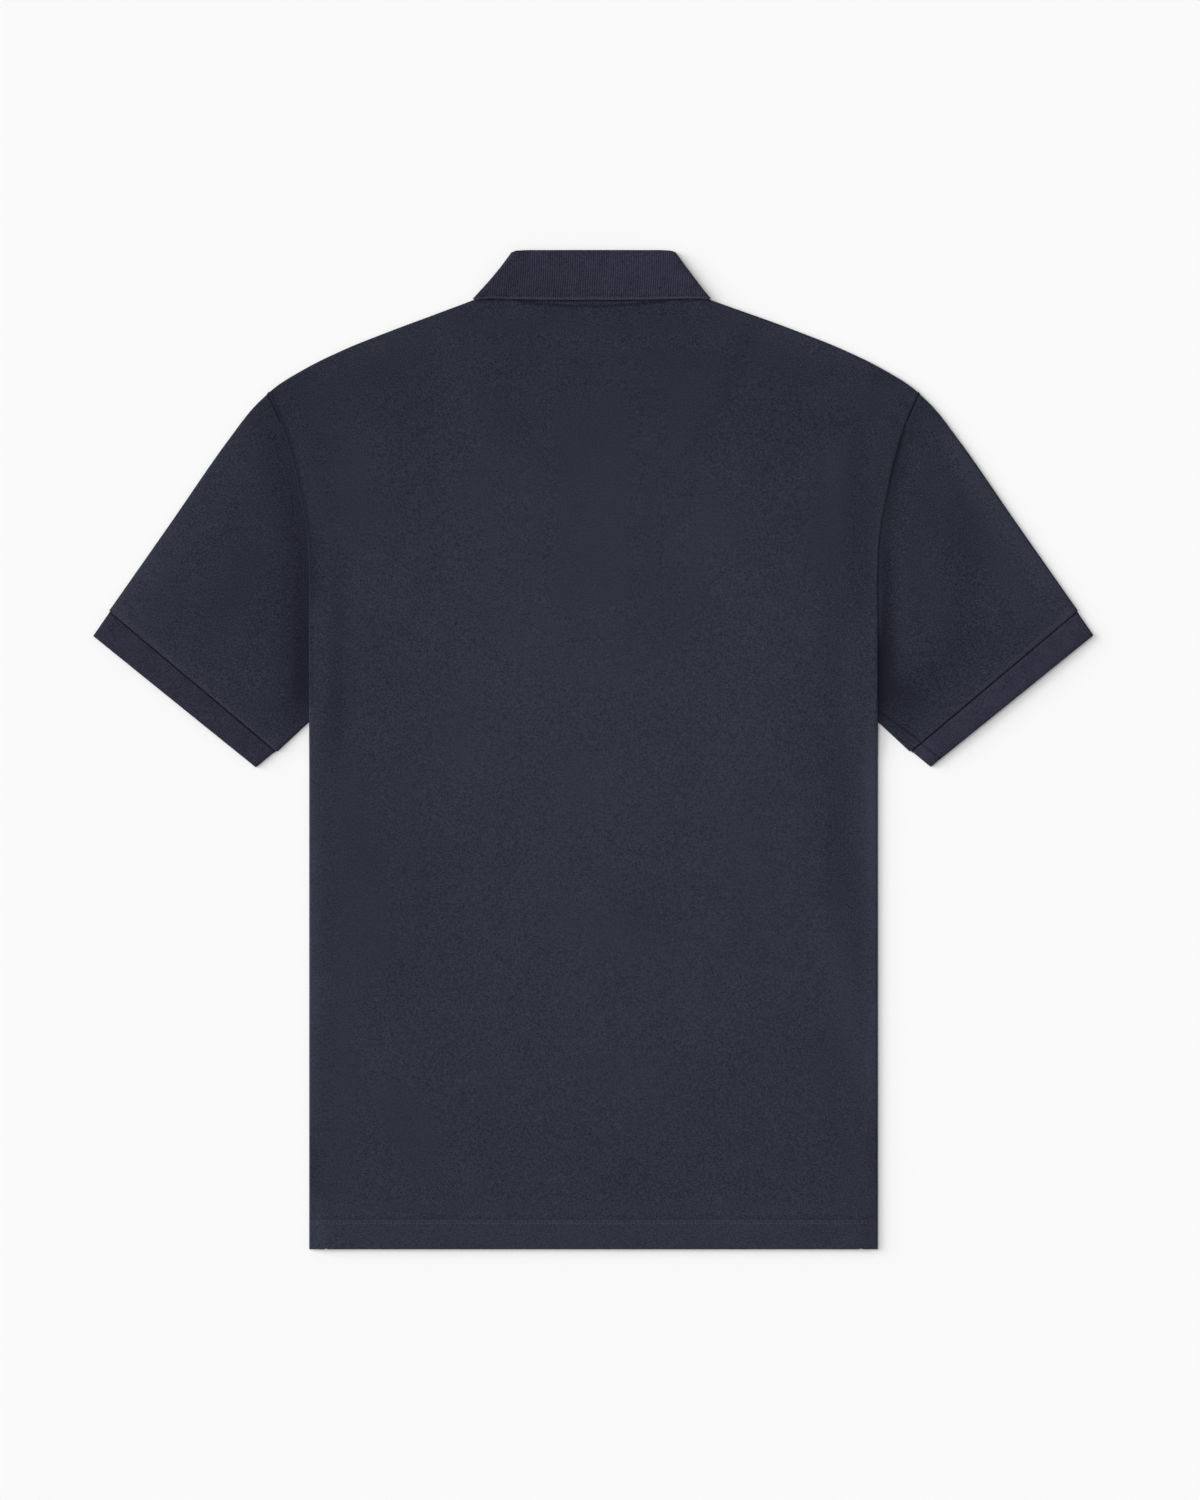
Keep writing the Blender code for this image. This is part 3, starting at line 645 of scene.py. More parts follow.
def add_object(name, mesh):
    """Turn a bmesh into an object of the scene."""
    data = bpy.data.meshes.new(name)
    mesh.to_mesh(data)
    mesh.free()
    return link(bpy.data.objects.new(name, data))


def link(thing):
    """Put an object into the scene."""
    bpy.context.scene.collection.objects.link(thing)
    return thing


def make_piece(name, mesh, finish, node):
    """Turn a bmesh into a smooth piece that rides on the shirt; node is not used."""
    piece = add_object(name, mesh)
    piece.data.shade_smooth()
    piece.data.materials.append(finish.material)
    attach(piece, "root")
    return piece


EDGE_STEPS = 8      # steps round a turned edge


def turn_steps(angle, across, radius, length, steps=EDGE_STEPS, strip_steps=2):
    """List (outward, down, length of cloth) round a turned edge and along the strip after it."""
    profile = []
    for step in range(1, steps + 1):
        turned = angle * step / steps
        profile.append((across * math.sin(turned), radius * (1.0 - math.cos(turned)), radius * turned))
    outward, down, gone = profile[-1]
    for step in range(1, strip_steps + 1):
        more = length * step / strip_steps
        profile.append((outward + more * math.cos(angle), down + more * math.sin(angle), gone + more))
    return profile


# ---- Back ----

def back_columns():
    """Columns of the back's right half, from the centre: bottom x, top x and top y."""
    corner_x = outline(NECK_HALF, SOFT_EDGE)[0]
    neck = np.linspace(0.0, corner_x, 23)[:-1]
    side_x = BODY_HALF - SOFT_EDGE
    share = np.linspace(0.0, 1.0, 45)
    bottom = corner_x + (side_x - corner_x) * share
    top_x, top_y, _, _ = outline(NECK_HALF + (BACK_TIP_X - NECK_HALF) * share, SOFT_EDGE)
    return (np.concatenate([neck, bottom]), np.concatenate([neck, top_x]),
            np.concatenate([back_neck(neck), top_y]), len(neck))


def body_rows():
    """Heights of rows from the hem up to the underarm, closer at the hem's stitching."""
    return spaced(HEM_Y, (HEM_SEAM_Y - 3.0, 7), (HEM_SEAM_Y + 3.0, 14), (UNDERARM_Y, 115))[:-1]


def up_shares():
    """Shares of the way from the underarm up to the neck, closer at the neck's stitching."""
    stitched = 1.0 - (BACK_NECK_Y - NECK_LINE_Y + 3.5) / (BACK_NECK_Y - UNDERARM_Y)
    return spaced(0.0, (stitched, 95), (1.0, 17))


def body_row(xs, y):
    """Places of a row of the body at y. A hem's fold starts a little higher than its outside."""
    ys = np.full(len(xs), y)
    if y == HEM_Y:
        ys += np.where(xs < HEM_SIDE, WALL / 2 + HEM_TURN * hem_fullness(xs), 0.0)
    return xs, ys


def turn_hem(cloth, inward):
    """Fold the cloth's first row up into its hem, between the turned sides."""
    half = HEM_SIDE / 1000.0
    folded = [vert for vert in cloth.mesh.verts[:cloth.columns] if abs(vert.co.x) < half]
    profile = [(out, inward * down, gone) for out, down, gone in
               turn_steps(math.pi, HEM_TURN, HEM_TURN, HEM_SEAM_Y - HEM_Y)]
    cloth.turn_row(folded, profile, [(0.0, -float(hem_fullness(vert.co.x * 1000.0))) for vert in folded])


def make_back(finish):
    bottom_x, top_x, top_y, neck_columns = back_columns()
    half = len(bottom_x)
    first = BODY_HALF - SOFT_EDGE
    rows = [body_row(bottom_x, y) for y in body_rows()]
    for share in up_shares():
        ys = UNDERARM_Y + (top_y - UNDERARM_Y) * share
        spread = (back_edge(ys) - SOFT_EDGE - first) / (top_x[-1] - first)
        rows.append((bottom_x + (top_x - bottom_x) * np.where(ys < top_y[-1], spread, 1.0), ys))
    xs, ys = (np.array([row[part] for row in rows]) for part in (0, 1))
    xs = np.concatenate([-xs[:, :0:-1], xs], axis=1)
    ys = np.concatenate([ys[:, :0:-1], ys], axis=1)
    heights = back_height(xs, ys)
    places = np.stack([xs, ys, heights], axis=2)
    flats = np.stack([xs, ys], axis=2)
    strips = []
    for row in range(len(rows)):
        angle, length, _, radius = (float(part) for part in edge_facts(ys[row, -1]))
        x, y, height = places[row, -1]
        # Between the two edges' levels the turn takes up the cloth's own height.
        low = float(table_eased(EDGE_TURN, y, 3))
        if length > 0.0:
            radius = (height - low - length * math.sin(angle)) / (1.0 - math.cos(angle))
        strips.append([(x + out, y, height - down, x + gone, y)
                       for out, down, gone in turn_steps(angle, SOFT_TURN, radius, length)])
    strips = np.array(strips)
    left = strips[:, ::-1].copy()
    left[:, :, 0] *= -1.0
    left[:, :, 3] *= -1.0
    places = np.concatenate([left[:, :, :3], places, strips[:, :, :3]], axis=1)
    flats = np.concatenate([left[:, :, 3:], flats, strips[:, :, 3:]], axis=1)
    fades_and_shades = back_fade_and_shade(places[:, :, 0], places[:, :, 1])
    cloth = Cloth(places, flats, fades_and_shades)
    cloth.mesh.verts.ensure_lookup_table()
    columns = places.shape[1]
    middle = columns // 2
    # Shoulders: turned down to the seams on the underside.
    top = len(rows) - 1
    shoulders = []
    for side in (-1, 1):
        numbers = range(middle + side * neck_columns, middle + side * (half + EDGE_STEPS), side)
        shoulders.append((side, [cloth.mesh.verts[top * columns + number] for number in numbers]))
    turn_hem(cloth, 1.0)
    share = np.linspace(0.0, 1.0, half - neck_columns)
    share = np.concatenate([share, np.ones(EDGE_STEPS)])
    _, _, across, up = outline(NECK_HALF + (BACK_TIP_X - NECK_HALF) * share)
    for side, row in shoulders:
        profile = turn_steps(math.pi, SOFT_TURN, FOLD, SEAM_TURN)
        # The turned shoulder edges get painted shade.
        cloth.turn_row(row, profile, [(side * a, b) for a, b in zip(across, up)], fade=-0.5)
    return cloth.finish("back", "back_panel", finish)


def back_fade_and_shade(x, y):
    """How much lighter or darker the back is, below nothing darker and above lighter: partly uneven fading,
    partly painted shade and painted light.
    """
    # Painted shade: darker towards the top, towards the sides and low down above the hem.
    fade = -0.26 * ease((y - 130.0) / 170.0)
    outer = ease((np.abs(x) - 60.0) / 110.0)
    fade -= 0.11 * outer * ease((y + 330.0) / 160.0) * ease((330.0 - y) / 60.0)
    fade -= 0.06 * ease((-190.0 - y) / 130.0) * ease((y + 366.0) / 8.0)
    for middle_x, middle_y, half_width, half_length, tone in WEAR_AND_SHADE:
        fade += tone * bell(np.hypot((x - middle_x) / half_width, (y - middle_y) / half_length), 1.0)
    fade += crease_sum(x, y, BACK_STREAKS)
    from_edge = back_edge(y) - np.abs(x)
    # Painted highlight along the rolled side edges below the sleeves.
    fade += 0.05 * bell(from_edge - 6.0, 5.0) * ease((120.0 - y) / 60.0)
    # Beside the sleeves the left edge, which faces the window, gets painted shade, and the right one painted
    # light that turns to painted shade near the shoulder.
    rim = bell(from_edge, 1.3)
    left_rim = bell(from_edge - 0.8, 1.9) * ease((y - 26.0) / 14.0)
    left_rim *= -0.55 - 0.40 * ease((y - 150.0) / 40.0) * ease((285.0 - y) / 20.0)
    right_rim = 0.60 * rim * ease((y - 75.0) / 25.0) * ease((215.0 - y) / 40.0)
    right_rim -= 0.30 * rim * ease((y - 170.0) / 50.0)
    fade += np.where(x > 0.0, right_rim, left_rim)
    # The hem's band is a little lighter, with a painted highlight on its stitched line and painted shade just
    # above it; painted shade lies in the neck's stitched groove, and a painted shadow under the collar's
    # edge.
    fade += 0.05 * ease((-360.0 - y) / 10.0)
    fade += 0.22 * bell(y - HEM_SEAM_Y, 1.4) - 0.26 * bell(y - HEM_SEAM_Y - 3.0, 1.8)
    fade -= 1.20 * bell(neck_line(x) - y, 1.1) * ease((NECK_LINE_REACH - np.abs(x)) / 10.0)
    fade -= 0.45 * ease(y - 349.2) * ease((96.0 - np.abs(x)) / 8.0)
    return fade


# ---- Front ----

def make_front(finish):
    corner = neck_corner()
    side = BODY_HALF - SEAM_TURN - EDGE - GAP
    scoop = np.radians(np.linspace(SLOT_ANGLE, 90.0, 26))
    scoop_x, scoop_y = front_neck(scoop)
    share = np.linspace(0.0, 1.0, 36)[1:]
    bottom = np.concatenate([scoop_x, corner.x + (side - corner.x) * share])
    top_x, top_y, _, _ = outline(NECK_HALF + (FRONT_TIP_X - NECK_HALF) * share, EDGE + SEAM_TURN + 2 * GAP)
    top_x, top_y = np.concatenate([scoop_x, top_x]), np.concatenate([scoop_y, top_y])
    first = float(sleeve_edge(UNDERARM_Y)) - GAP
    rows = [body_row(bottom, y) for y in body_rows()]
    below, above = 26, 66
    slot = (PLACKET_BOTTOM_Y - UNDERARM_Y) / (top_y - UNDERARM_Y)
    level = (PLACKET_BOTTOM_Y - UNDERARM_Y) / (float(top_y[-1]) - UNDERARM_Y)
    bend = level + (slot - level) * ease(1.0 - (bottom - PLACKET_HALF) / 70.0)
    for row in range(below + above + 1):
        moved = bend * row / below if row <= below else bend + (1.0 - bend) * (row - below) / above
        ys = UNDERARM_Y + (top_y - UNDERARM_Y) * moved
        spread = (sleeve_edge(ys) - GAP - first) / (top_x[-1] - first)
        rows.append((bottom + (top_x - bottom) * np.where(ys < top_y[-1], spread, 1.0), ys))
    xs, ys = (np.array([row[part] for row in rows]) for part in (0, 1))
    inner = np.linspace(0.0, 1.0, 6)[:-1]
    inner_x = xs[:, :1] * inner
    inner_y = np.repeat(ys[:, :1], len(inner), axis=1)
    xs = np.concatenate([-xs[:, ::-1], -inner_x[:, :0:-1], inner_x, xs], axis=1)
    ys = np.concatenate([ys[:, ::-1], inner_y[:, :0:-1], inner_y, ys], axis=1)
    places = np.stack([xs, ys, front_height(xs, ys)], axis=2)
    flats = np.stack([xs, ys], axis=2)
    cloth = Cloth(places, flats, front_fade_and_shade(xs, ys))
    cloth.mesh.verts.ensure_lookup_table()
    cloth.mesh.faces.ensure_lookup_table()
    columns = xs.shape[1]
    # The placket's slot is open above its lower end.
    slot_row = len(body_rows()) + below
    middle = range(columns // 2 - len(inner), columns // 2 + len(inner))
    open_faces = [cloth.mesh.faces[row * (columns - 1) + column]
                  for row in range(slot_row, len(rows) - 1) for column in middle]
    bmesh.ops.delete(cloth.mesh, geom=open_faces, context="FACES")
    cloth.mesh.verts.ensure_lookup_table()
    turn_hem(cloth, -1.0)
    return cloth.finish("front", "front_panel", finish)


def front_fade_and_shade(x, y):
    """How much lighter or darker the front is: lighter towards the hem, with painted shade along its hem's
    stitching and its side edges.
    """
    base_tone = 0.10 * ease((250.0 - y) / 260.0) - 0.12
    return base_tone - 0.5 * bell(y - HEM_SEAM_Y - 2.4, 1.3) - 0.35 * bell(np.abs(x) - 210.0, 1.6)


# ---- Sleeves and cuffs ----

def ring_shares(seam_on_top):
    """Shares across a sleeve's top layer, closer where the underarm seam lies on it."""
    return spaced(0.0, (0.86, 55), (1.0, 33)) if seam_on_top else spaced(0.0, (1.0, 71))


def past_body(x, y):
    """How far a sleeve's point lies out from the back's edge."""
    return x - back_edge(np.minimum(y, BACK_EDGE[-1][0]))


def sleeve_height(share, x, y, creases, seam_on_top):
    """Middle of the wall of a sleeve's or cuff's top layer: low beside the body, rounded beyond."""
    past = past_body(x, y) - 2.0
    clear = ease(past / 25.0)
    arch = np.sqrt(np.maximum(np.sin(math.pi * np.clip(share, 0.0, 1.0)), 0.0))
    tip = EDGE_RISE * ease((y - 236.0) / 18.0)
    inner = ease(np.minimum(share, 1.0 - share) * 7.0)
    soft = PUFF * arch + EDGE_RISE + crease_sum(x, y, creases) * inner
    height = layer_height(1) + np.maximum(clear * np.maximum(soft, 0.0), tip)
    if seam_on_top:
        groove = bell(path_distance(x, y, UNDERARM_SEAM), 0.8)
        height = height - SEAM_GROOVE * groove * ease(past / 4.0 + 1.0)
    return height


def ring_row(upper, lower, across, fades_and_shades, seam_on_top):
    """One ring of a flattened tube, up its top layer and back below it: places, and how faded they are, with
    painted shade on the folded edges.
    """
    outward = (upper - lower).normalized()
    places, fade = list(across[::-1]), list(fades_and_shades[::-1])
    under = list(across[:: 4 if seam_on_top else 3])
    if under[-1] != across[-1]:
        under.append(across[-1])
    for fold, way, top in ((upper, outward, across[0][2]), (lower, -outward, across[-1][2])):
        radius = (top - layer_height(0)) / 2
        if fold is lower:
            places += [(x, y, layer_height(0)) for x, y, _ in under]
            fade += [0.0] * len(under)
        for step in range(1, 8) if fold is upper else range(7, 0, -1):
            angle = math.pi * step / 8
            spot = fold + way * SOFT_TURN * math.sin(angle)
            places.append((spot.x, spot.y, top - radius * (1.0 - math.cos(angle))))
            # Painted shade on the folded edges.
            fade.append(-0.45 if fold is upper else -0.15)
    places.append(places[0])
    fade.append(fade[0])
    return places, fade


def tube(rings, along):
    """Cloth of a flattened tube from its rings; along is the way that the knit runs."""
    places = np.array([ring[0] for ring in rings])
    fades_and_shades = np.array([ring[1] for ring in rings])
    aside = places[:, :, 1] * along.x - places[:, :, 0] * along.y
    steps = np.hypot(np.diff(aside, axis=1), np.diff(places[:, :, 2], axis=1))
    round_it = np.concatenate([aside[:, :1], aside[:, :1] + np.cumsum(steps, axis=1)], axis=1)
    down_it = places[:, :, 0] * along.x + places[:, :, 1] * along.y
    return Cloth(places, np.stack([round_it, down_it], axis=2), fades_and_shades, closed=True)


def make_sleeve(side, finish):
    seam_on_top = side == "right"
    shares = ring_shares(seam_on_top)
    top = Vector(outline(SLEEVE_TIP_X, SOFT_EDGE)[:2])
    hole = [Vector((float(sleeve_edge(y)), float(y))) for y in top.y + (UNDERARM_Y - top.y) * shares]
    hole[0] = top
    low_way = (SLEEVE_LOW - UNDERARM).normalized()
    low_end = SLEEVE_LOW + Vector((-low_way.y, low_way.x)) * SOFT_EDGE
    above_shading, roll_shading, _ = CUFF_SEAM_SHADING[side]
    rings = []
    for along in spaced(0.0, (0.965, 51), (1.0, 7)):
        reach = (TOP_OUTLINE[-1][0] - SLEEVE_TIP_X) * along**1.15
        upper, lower = Vector(outline(SLEEVE_TIP_X + reach, SOFT_EDGE)[:2]), hole[-1].lerp(low_end, along)
        spots = []
        for share, point in zip(shares, hole):
            bow = point - top.lerp(hole[-1], share)
            spots.append(upper.lerp(lower, share) + bow * (1.0 - along) ** 1.5)
        xs, ys = np.array([spot.x for spot in spots]), np.array([spot.y for spot in spots])
        # The end is drawn down a little by the cuff's seam, just past a low roll.
        to_cuff = (1.0 - along) * SLEEVE_LENGTH
        heights = sleeve_height(shares, xs, ys, SLEEVE_CREASES[side], seam_on_top)
        heights = heights - 0.28 * bell(to_cuff, 1.0) + 0.18 * bell(to_cuff - 3.4, 2.0)
        # Painted shade and light: beside the body, along the streaks and by the cuff's seam.
        fades_and_shades = sleeve_fade_and_shade(xs, ys, seam_on_top) + crease_sum(xs, ys, SLEEVE_STREAKS[side])
        fades_and_shades = fades_and_shades + above_shading * bell(to_cuff, 9.0) + roll_shading * bell(to_cuff - 1.7, 1.2)
        rings.append(ring_row(upper, lower, list(zip(xs, ys, heights)), fades_and_shades, seam_on_top))
    knit_way = (Vector(TOP_OUTLINE[-1]) - Vector(TOP_OUTLINE[-3])).normalized()
    return tube(rings, knit_way).finish(f"{side}_sleeve", f"sleeve_{side}", finish, mirrored=side == "left")


def sleeve_fade_and_shade(x, y, seam_on_top):
    """How much lighter or darker a sleeve is: a little darker all over, with painted shade beside the body,
    where the sleeve passes under its edge.
    """
    past = past_body(x, y)
    fade = -0.20 - 0.30 * ease(1.0 - past / 50.0)
    fade = fade - 0.72 * table_eased(BESIDE_BODY_SHADE, y, 1) * ease((17.5 - past) / 11.0)
    if seam_on_top:
        # Here the body's edge shades the cloth beside it, and painted light lightens that shadow again.
        painted_light = 0.70 * ease((y - 70.0) / 30.0) * ease((226.0 - y) / 30.0)
        fade = fade + painted_light * bell(past - 0.5, 2.2)
        fade = fade + 0.90 * bell(past - 1.5, 2.8) * bell(y - 118.0, 34.0)
        fade = fade - bell(path_distance(x, y, UNDERARM_SEAM), 0.9)
    return fade


def make_cuff(side, finish):
    seam_on_top = side == "right"
    shares = ring_shares(seam_on_top)
    base_tone, end_shading = CUFF_SHADING[side]
    rings = []
    for along in spaced(0.0, (0.2, 5), (0.9, 7), (1.0, 3)):
        reach = along * (1.0 + CUFF_LONGER[side] / CUFF_LENGTH)
        outer, inner = (start.lerp(end, reach) for start, end in zip(CUFF_START, CUFF_END))
        way = (inner - outer).normalized()
        upper, lower = outer + way * SOFT_EDGE, inner - way * SOFT_EDGE
        spots = [upper.lerp(lower, share) for share in shares]
        xs, ys = np.array([spot.x for spot in spots]), np.array([spot.y for spot in spots])
        from_seam, from_end = along * CUFF_LENGTH, (1.0 - along) * CUFF_LENGTH
        heights = sleeve_height(shares, xs, ys, (), seam_on_top)
        heights = heights - 0.30 * bell(from_seam, 1.1) - 0.25 * bell(from_end, 1.2)
        # Painted light and shade over the whole cuff, by its seam and at its end.
        fades_and_shades = base_tone + CUFF_SEAM_SHADING[side][2] * bell(from_seam, 0.9) + end_shading * bell(from_end, 3.5)
        fades_and_shades = np.full(len(xs), fades_and_shades)
        if seam_on_top:
            fades_and_shades = fades_and_shades - 0.7 * bell(path_distance(xs, ys, UNDERARM_SEAM), 0.9)
        rings.append(ring_row(upper, lower, list(zip(xs, ys, heights)), fades_and_shades, seam_on_top))
    knit_way = (CUFF_END[0] - CUFF_START[0]).normalized()
    return tube(rings, knit_way).finish(f"{side}_cuff", f"cuff_{side}", finish, mirrored=side == "left")


# ---- Collar ----

# Points of a section's stand, fold and leaf, and sections along the back, round a corner and along
# the front.
STAND_POINTS, FOLD_POINTS, LEAF_POINTS = 7, 10, 22
BACK_STATIONS, TURN_STATIONS, FRONT_STATIONS = 31, 12, 42


def collar_section(seam, fold, edge, turn):
    """Section of the folded collar: stand up to the fold, over it, and down the leaf.

    turn is 0 on the back, where the leaf lies on top, and pi on the front, where it lies below.
    """
    middle = layer_height(1) + FOLD
    outward = COLLAR_SIDE * math.sin(turn) + Vector((0.0, 0.0, math.cos(turn)))
    base = Vector((0.0, 0.0, middle))
    upward = (fold - seam).normalized()
    fold = fold - upward * CORNER_DIP * math.sin(turn)
    edge = edge - COLLAR_SIDE.xy * 1.3 * math.sin(turn)
    foot = seam + upward * (GAP + EDGE * math.sin(turn))
    crown = 0.5 * max(math.cos(turn), 0.0)      # the leaf stands rounder on top than on the floor
    section = []
    for step in range(STAND_POINTS):
        section.append(foot.lerp(fold, step / (STAND_POINTS - 1)).to_3d() + outward * FOLD + base)
    for step in range(1, FOLD_POINTS):
        angle = math.pi * step / FOLD_POINTS
        place = fold + upward * FOLD * math.sin(angle)
        section.append(place.to_3d() + outward * (LAYER - FOLD * math.cos(angle)) + base)
    for step in range(LEAF_POINTS + 1):
        share = 1.0 - (1.0 - step / LEAF_POINTS) ** 1.35
        rounding = crown * math.sin(math.pi * min(share * 1.02, 1.0)) ** 0.7 - 0.35 * crown * share**12
        drawn_in = COLLAR_SIDE * SIDE_BOW * math.sin(turn) * math.sin(math.pi * share)
        section.append(fold.lerp(edge, share).to_3d() - drawn_in + outward * (LAYER + FOLD + rounding) + base)
    return section


def collar_places():
    """Places of the collar, a row of them for each section from the left point to the right one."""
    corner = Vector([float(part) for part in outline(NECK_HALF, EDGE)[:2]])
    half = []
    for share in np.linspace(0.0, 1.0, BACK_STATIONS):
        fold_x, fold_y, edge_x, edge_y = table_points(COLLAR_BACK, share, range(1, 5))
        x = corner.x * share
        seam = Vector((x, back_neck(x) if share < 1.0 else corner.y))
        half.append(collar_section(seam, Vector((fold_x, fold_y)), Vector((edge_x, edge_y)), 0.0))
    fold, edge = Vector(COLLAR_BACK[-1][1:3]), Vector(COLLAR_BACK[-1][3:5])
    for step in range(1, TURN_STATIONS + 1):
        half.append(collar_section(corner, fold, edge, math.pi * step / TURN_STATIONS))
    stations = [(0, *corner, *fold, *edge)]
    for number, (degrees, *rest) in enumerate(COLLAR_FRONT, start=1):
        stations.append((number, *front_neck(math.radians(degrees)), *rest))
    for place in np.linspace(0.0, len(COLLAR_FRONT), FRONT_STATIONS + 1)[1:]:
        values = table_points(stations, place, range(1, 7))
        half.append(collar_section(Vector(values[:2]), Vector(values[2:4]), Vector(values[4:6]), math.pi))
    right = np.array([[tuple(point) for point in section] for section in half])
    left = right[:0:-1] * (-1.0, 1.0, 1.0)
    wide, high = LEFT_CORNER_SIZE
    from_corner = np.hypot((left[:, :, 0] + edge.x) / wide, (left[:, :, 1] - edge.y) / high)
    left[:, :, :2] -= LEFT_CORNER * bell(from_corner, 1.0)[:, :, None]
    return np.concatenate([left, right])


def lengths(places, axis):
    """Length of cloth from the grid's first row or column to each of its places."""
    steps = np.linalg.norm(np.diff(places, axis=axis), axis=2)
    return np.insert(np.cumsum(steps, axis=axis), 0, 0.0, axis=axis)


def make_collar(finish):
    places = collar_places()
    middle = len(places) // 2
    along, across = lengths(places, 0), lengths(places, 1)
    to_edge = across[:, -1:] - across
    on_leaf = np.arange(places.shape[1])[None, :] >= STAND_POINTS + FOLD_POINTS - 1
    # The leaf is lighter along its rolled lip, a painted highlight, with painted shade just inside it; its
    # right half is a little lighter, and the stand is darker, painted shade under the leaf.
    fades_and_shades = 0.9 * bell(to_edge - 0.8, 1.1) - 0.35 * bell(to_edge - 3.2, 0.9)
    fades_and_shades = np.where(on_leaf, fades_and_shades + 0.002 * np.clip(places[:, :, 0], -60.0, 60.0), -0.3)
    cloth = Cloth(places, np.stack([along - along[middle], across], axis=2), fades_and_shades)
    # The leaf's rolled lip is pressed flat where the collar lies under the front.
    from_middle = np.abs(np.arange(len(places)) - middle)
    on_back = ease((BACK_STATIONS + TURN_STATIONS - 2 - from_middle) / 8.0)[:, None]
    bead = np.where(on_leaf, np.exp(-((to_edge / 1.3) ** 4)) * on_back, 0.0).reshape(-1)

    def lip(piece):
        group = piece.vertex_groups.new(name="wall")
        for index, share in enumerate(bead):
            group.add([index], (WALL + (LIP_WALL - WALL) * float(share)) / LIP_WALL, "REPLACE")
        return group.name

    return cloth.finish("collar_band", "collar", finish, wall=LIP_WALL, lip=lip)


# ---- Placket, buttons and sewing ----

def make_placket(name, finish, half_width, layer, stitched):
    across, rows = 33, 110
    xs = np.linspace(-half_width, half_width, across)
    top = front_neck(np.arcsin(np.abs(xs) / neck_corner().x))[1] - GAP
    share = np.linspace(0.0, 1.0, rows)[:, None]
    ys = PLACKET_BOTTOM_Y + GAP + (top - PLACKET_BOTTOM_Y - GAP) * share
    xs = np.repeat(xs[None, :], rows, axis=0)
    heights = front_height(xs, ys) + layer * LAYER
    fades_and_shades = np.full(xs.shape, 0.05)
    if stitched:
        groove = bell(np.abs(xs) - half_width + PLACKET_STITCH_IN, 0.8)
        for line in PLACKET_LINES:
            groove = np.maximum(groove, bell(ys - line, 0.9))
        heights = heights + 0.26 * groove
        # Painted shade in the stitched grooves and a painted highlight along the strip's edges.
        fades_and_shades = fades_and_shades - 0.4 * groove + 0.25 * bell(np.abs(xs) - half_width, 1.0)
    places = np.stack([xs, ys, heights], axis=2)
    return Cloth(places, np.stack([xs, ys], axis=2), fades_and_shades).finish(name, name.replace("_strip", ""), finish)


def make_allowance(name, node, finish, line, reach, height):
    """Sewn-in edge of cloth behind a seam.

    line lists the seam's points, reach how far the strip goes to each side of it there, and height
    gives the middle of the strip's wall.
    """
    line = np.array(line, float)
    ahead = np.gradient(line, axis=0)
    aside = np.stack([ahead[:, 1], -ahead[:, 0]], axis=1) / np.linalg.norm(ahead, axis=1)[:, None]
    across = np.linspace(-1.0, 1.0, 5)[:, None] * np.broadcast_to(reach, len(line))
    spots = line[None] + aside[None] * across[:, :, None]
    places = np.concatenate([spots, height(spots[:, :, 0], spots[:, :, 1])[:, :, None]], axis=2)
    cloth = Cloth(places, spots, np.full(spots.shape[:2], -0.6))
    return cloth.finish(name, node, finish, wall=ALLOWANCE_WALL)


def make_allowances(finish, rib):
    """The allowances of the seams where two edges meet side by side on top."""
    pieces = [make_allowance("neck_allowance", "back_panel", finish,
                             [(x, float(back_neck(x))) for x in np.linspace(-50.0, 50.0, 30)], 4.0,
                             lambda x, y: np.full(x.shape, layer_height(2) - WALL / 2 - 0.35))]
    # At the shoulder's tip the strip narrows to close the outline between the back and the sleeve.
    hole_y = spaced(247.0, (273.0, 11), (278.4, 9))
    hole_reach = 2.4 * np.sqrt(np.clip((278.6 - hole_y) / 3.0, 0.0, 1.0))
    shares = np.linspace(0.0, 1.0, 60)
    upper, lower = (CUFF_START[0] + Vector(TOP_OUTLINE[-1])) / 2, (CUFF_START[1] + SLEEVE_LOW) / 2
    way = (lower - upper).normalized()
    cuff = [(upper + way * 0.4).lerp(lower - way * 0.4, share) for share in shares]
    for side, name in ((-1, "left"), (1, "right")):
        pieces.append(make_allowance(
            f"armhole_allowance_{name}", f"sleeve_{name}", finish,
            [(side * float(back_edge(y)), y) for y in hole_y], hole_reach,
            lambda x, y: 1.5 + 0.3 * ease((y - 246.0) / 14.0)))
        pieces.append(make_allowance(
            f"cuff_allowance_{name}", f"cuff_{name}", rib, [(side * spot.x, spot.y) for spot in cuff], 1.6,
            lambda x, y: sleeve_height(shares[None, :], np.abs(x), y, SLEEVE_CREASES[name], side > 0) - 1.42))
    return pieces


def sew(mesh, path, stitch, gap, thread):
    """Lay stitches end to end along a path of places (mm), each a short rounded length of thread."""
    path = np.array(path, float)
    steps = np.linalg.norm(np.diff(path, axis=0), axis=1)
    gone = np.concatenate([[0.0], np.cumsum(steps)])
    count = max(int(gone[-1] / (stitch + gap)), 1)
    pitch = gone[-1] / count
    for number in range(count):
        middle = (number + 0.5) * pitch
        ends = [np.array([np.interp(middle + way * stitch / 2, gone, path[:, axis]) for axis in range(3)])
                for way in (-1, 1)]
        way = Vector(ends[1] - ends[0])
        place = Matrix.Translation(Vector(ends[0] + ends[1]) / 2000.0)
        turned = way.to_track_quat("X", "Z").to_matrix().to_4x4()
        size = Matrix.Diagonal((stitch / 2000.0, thread / 1000.0, thread / 1000.0, 1.0))
        bmesh.ops.create_icosphere(mesh, subdivisions=1, radius=1.0, matrix=place @ turned @ size)


def straight(start, end, height, count=60):
    """Path from start to end (x, y) with its height from a function."""
    xs, ys = np.linspace(start[0], end[0], count), np.linspace(start[1], end[1], count)
    return np.stack([xs, ys, height(xs, ys)], axis=1)


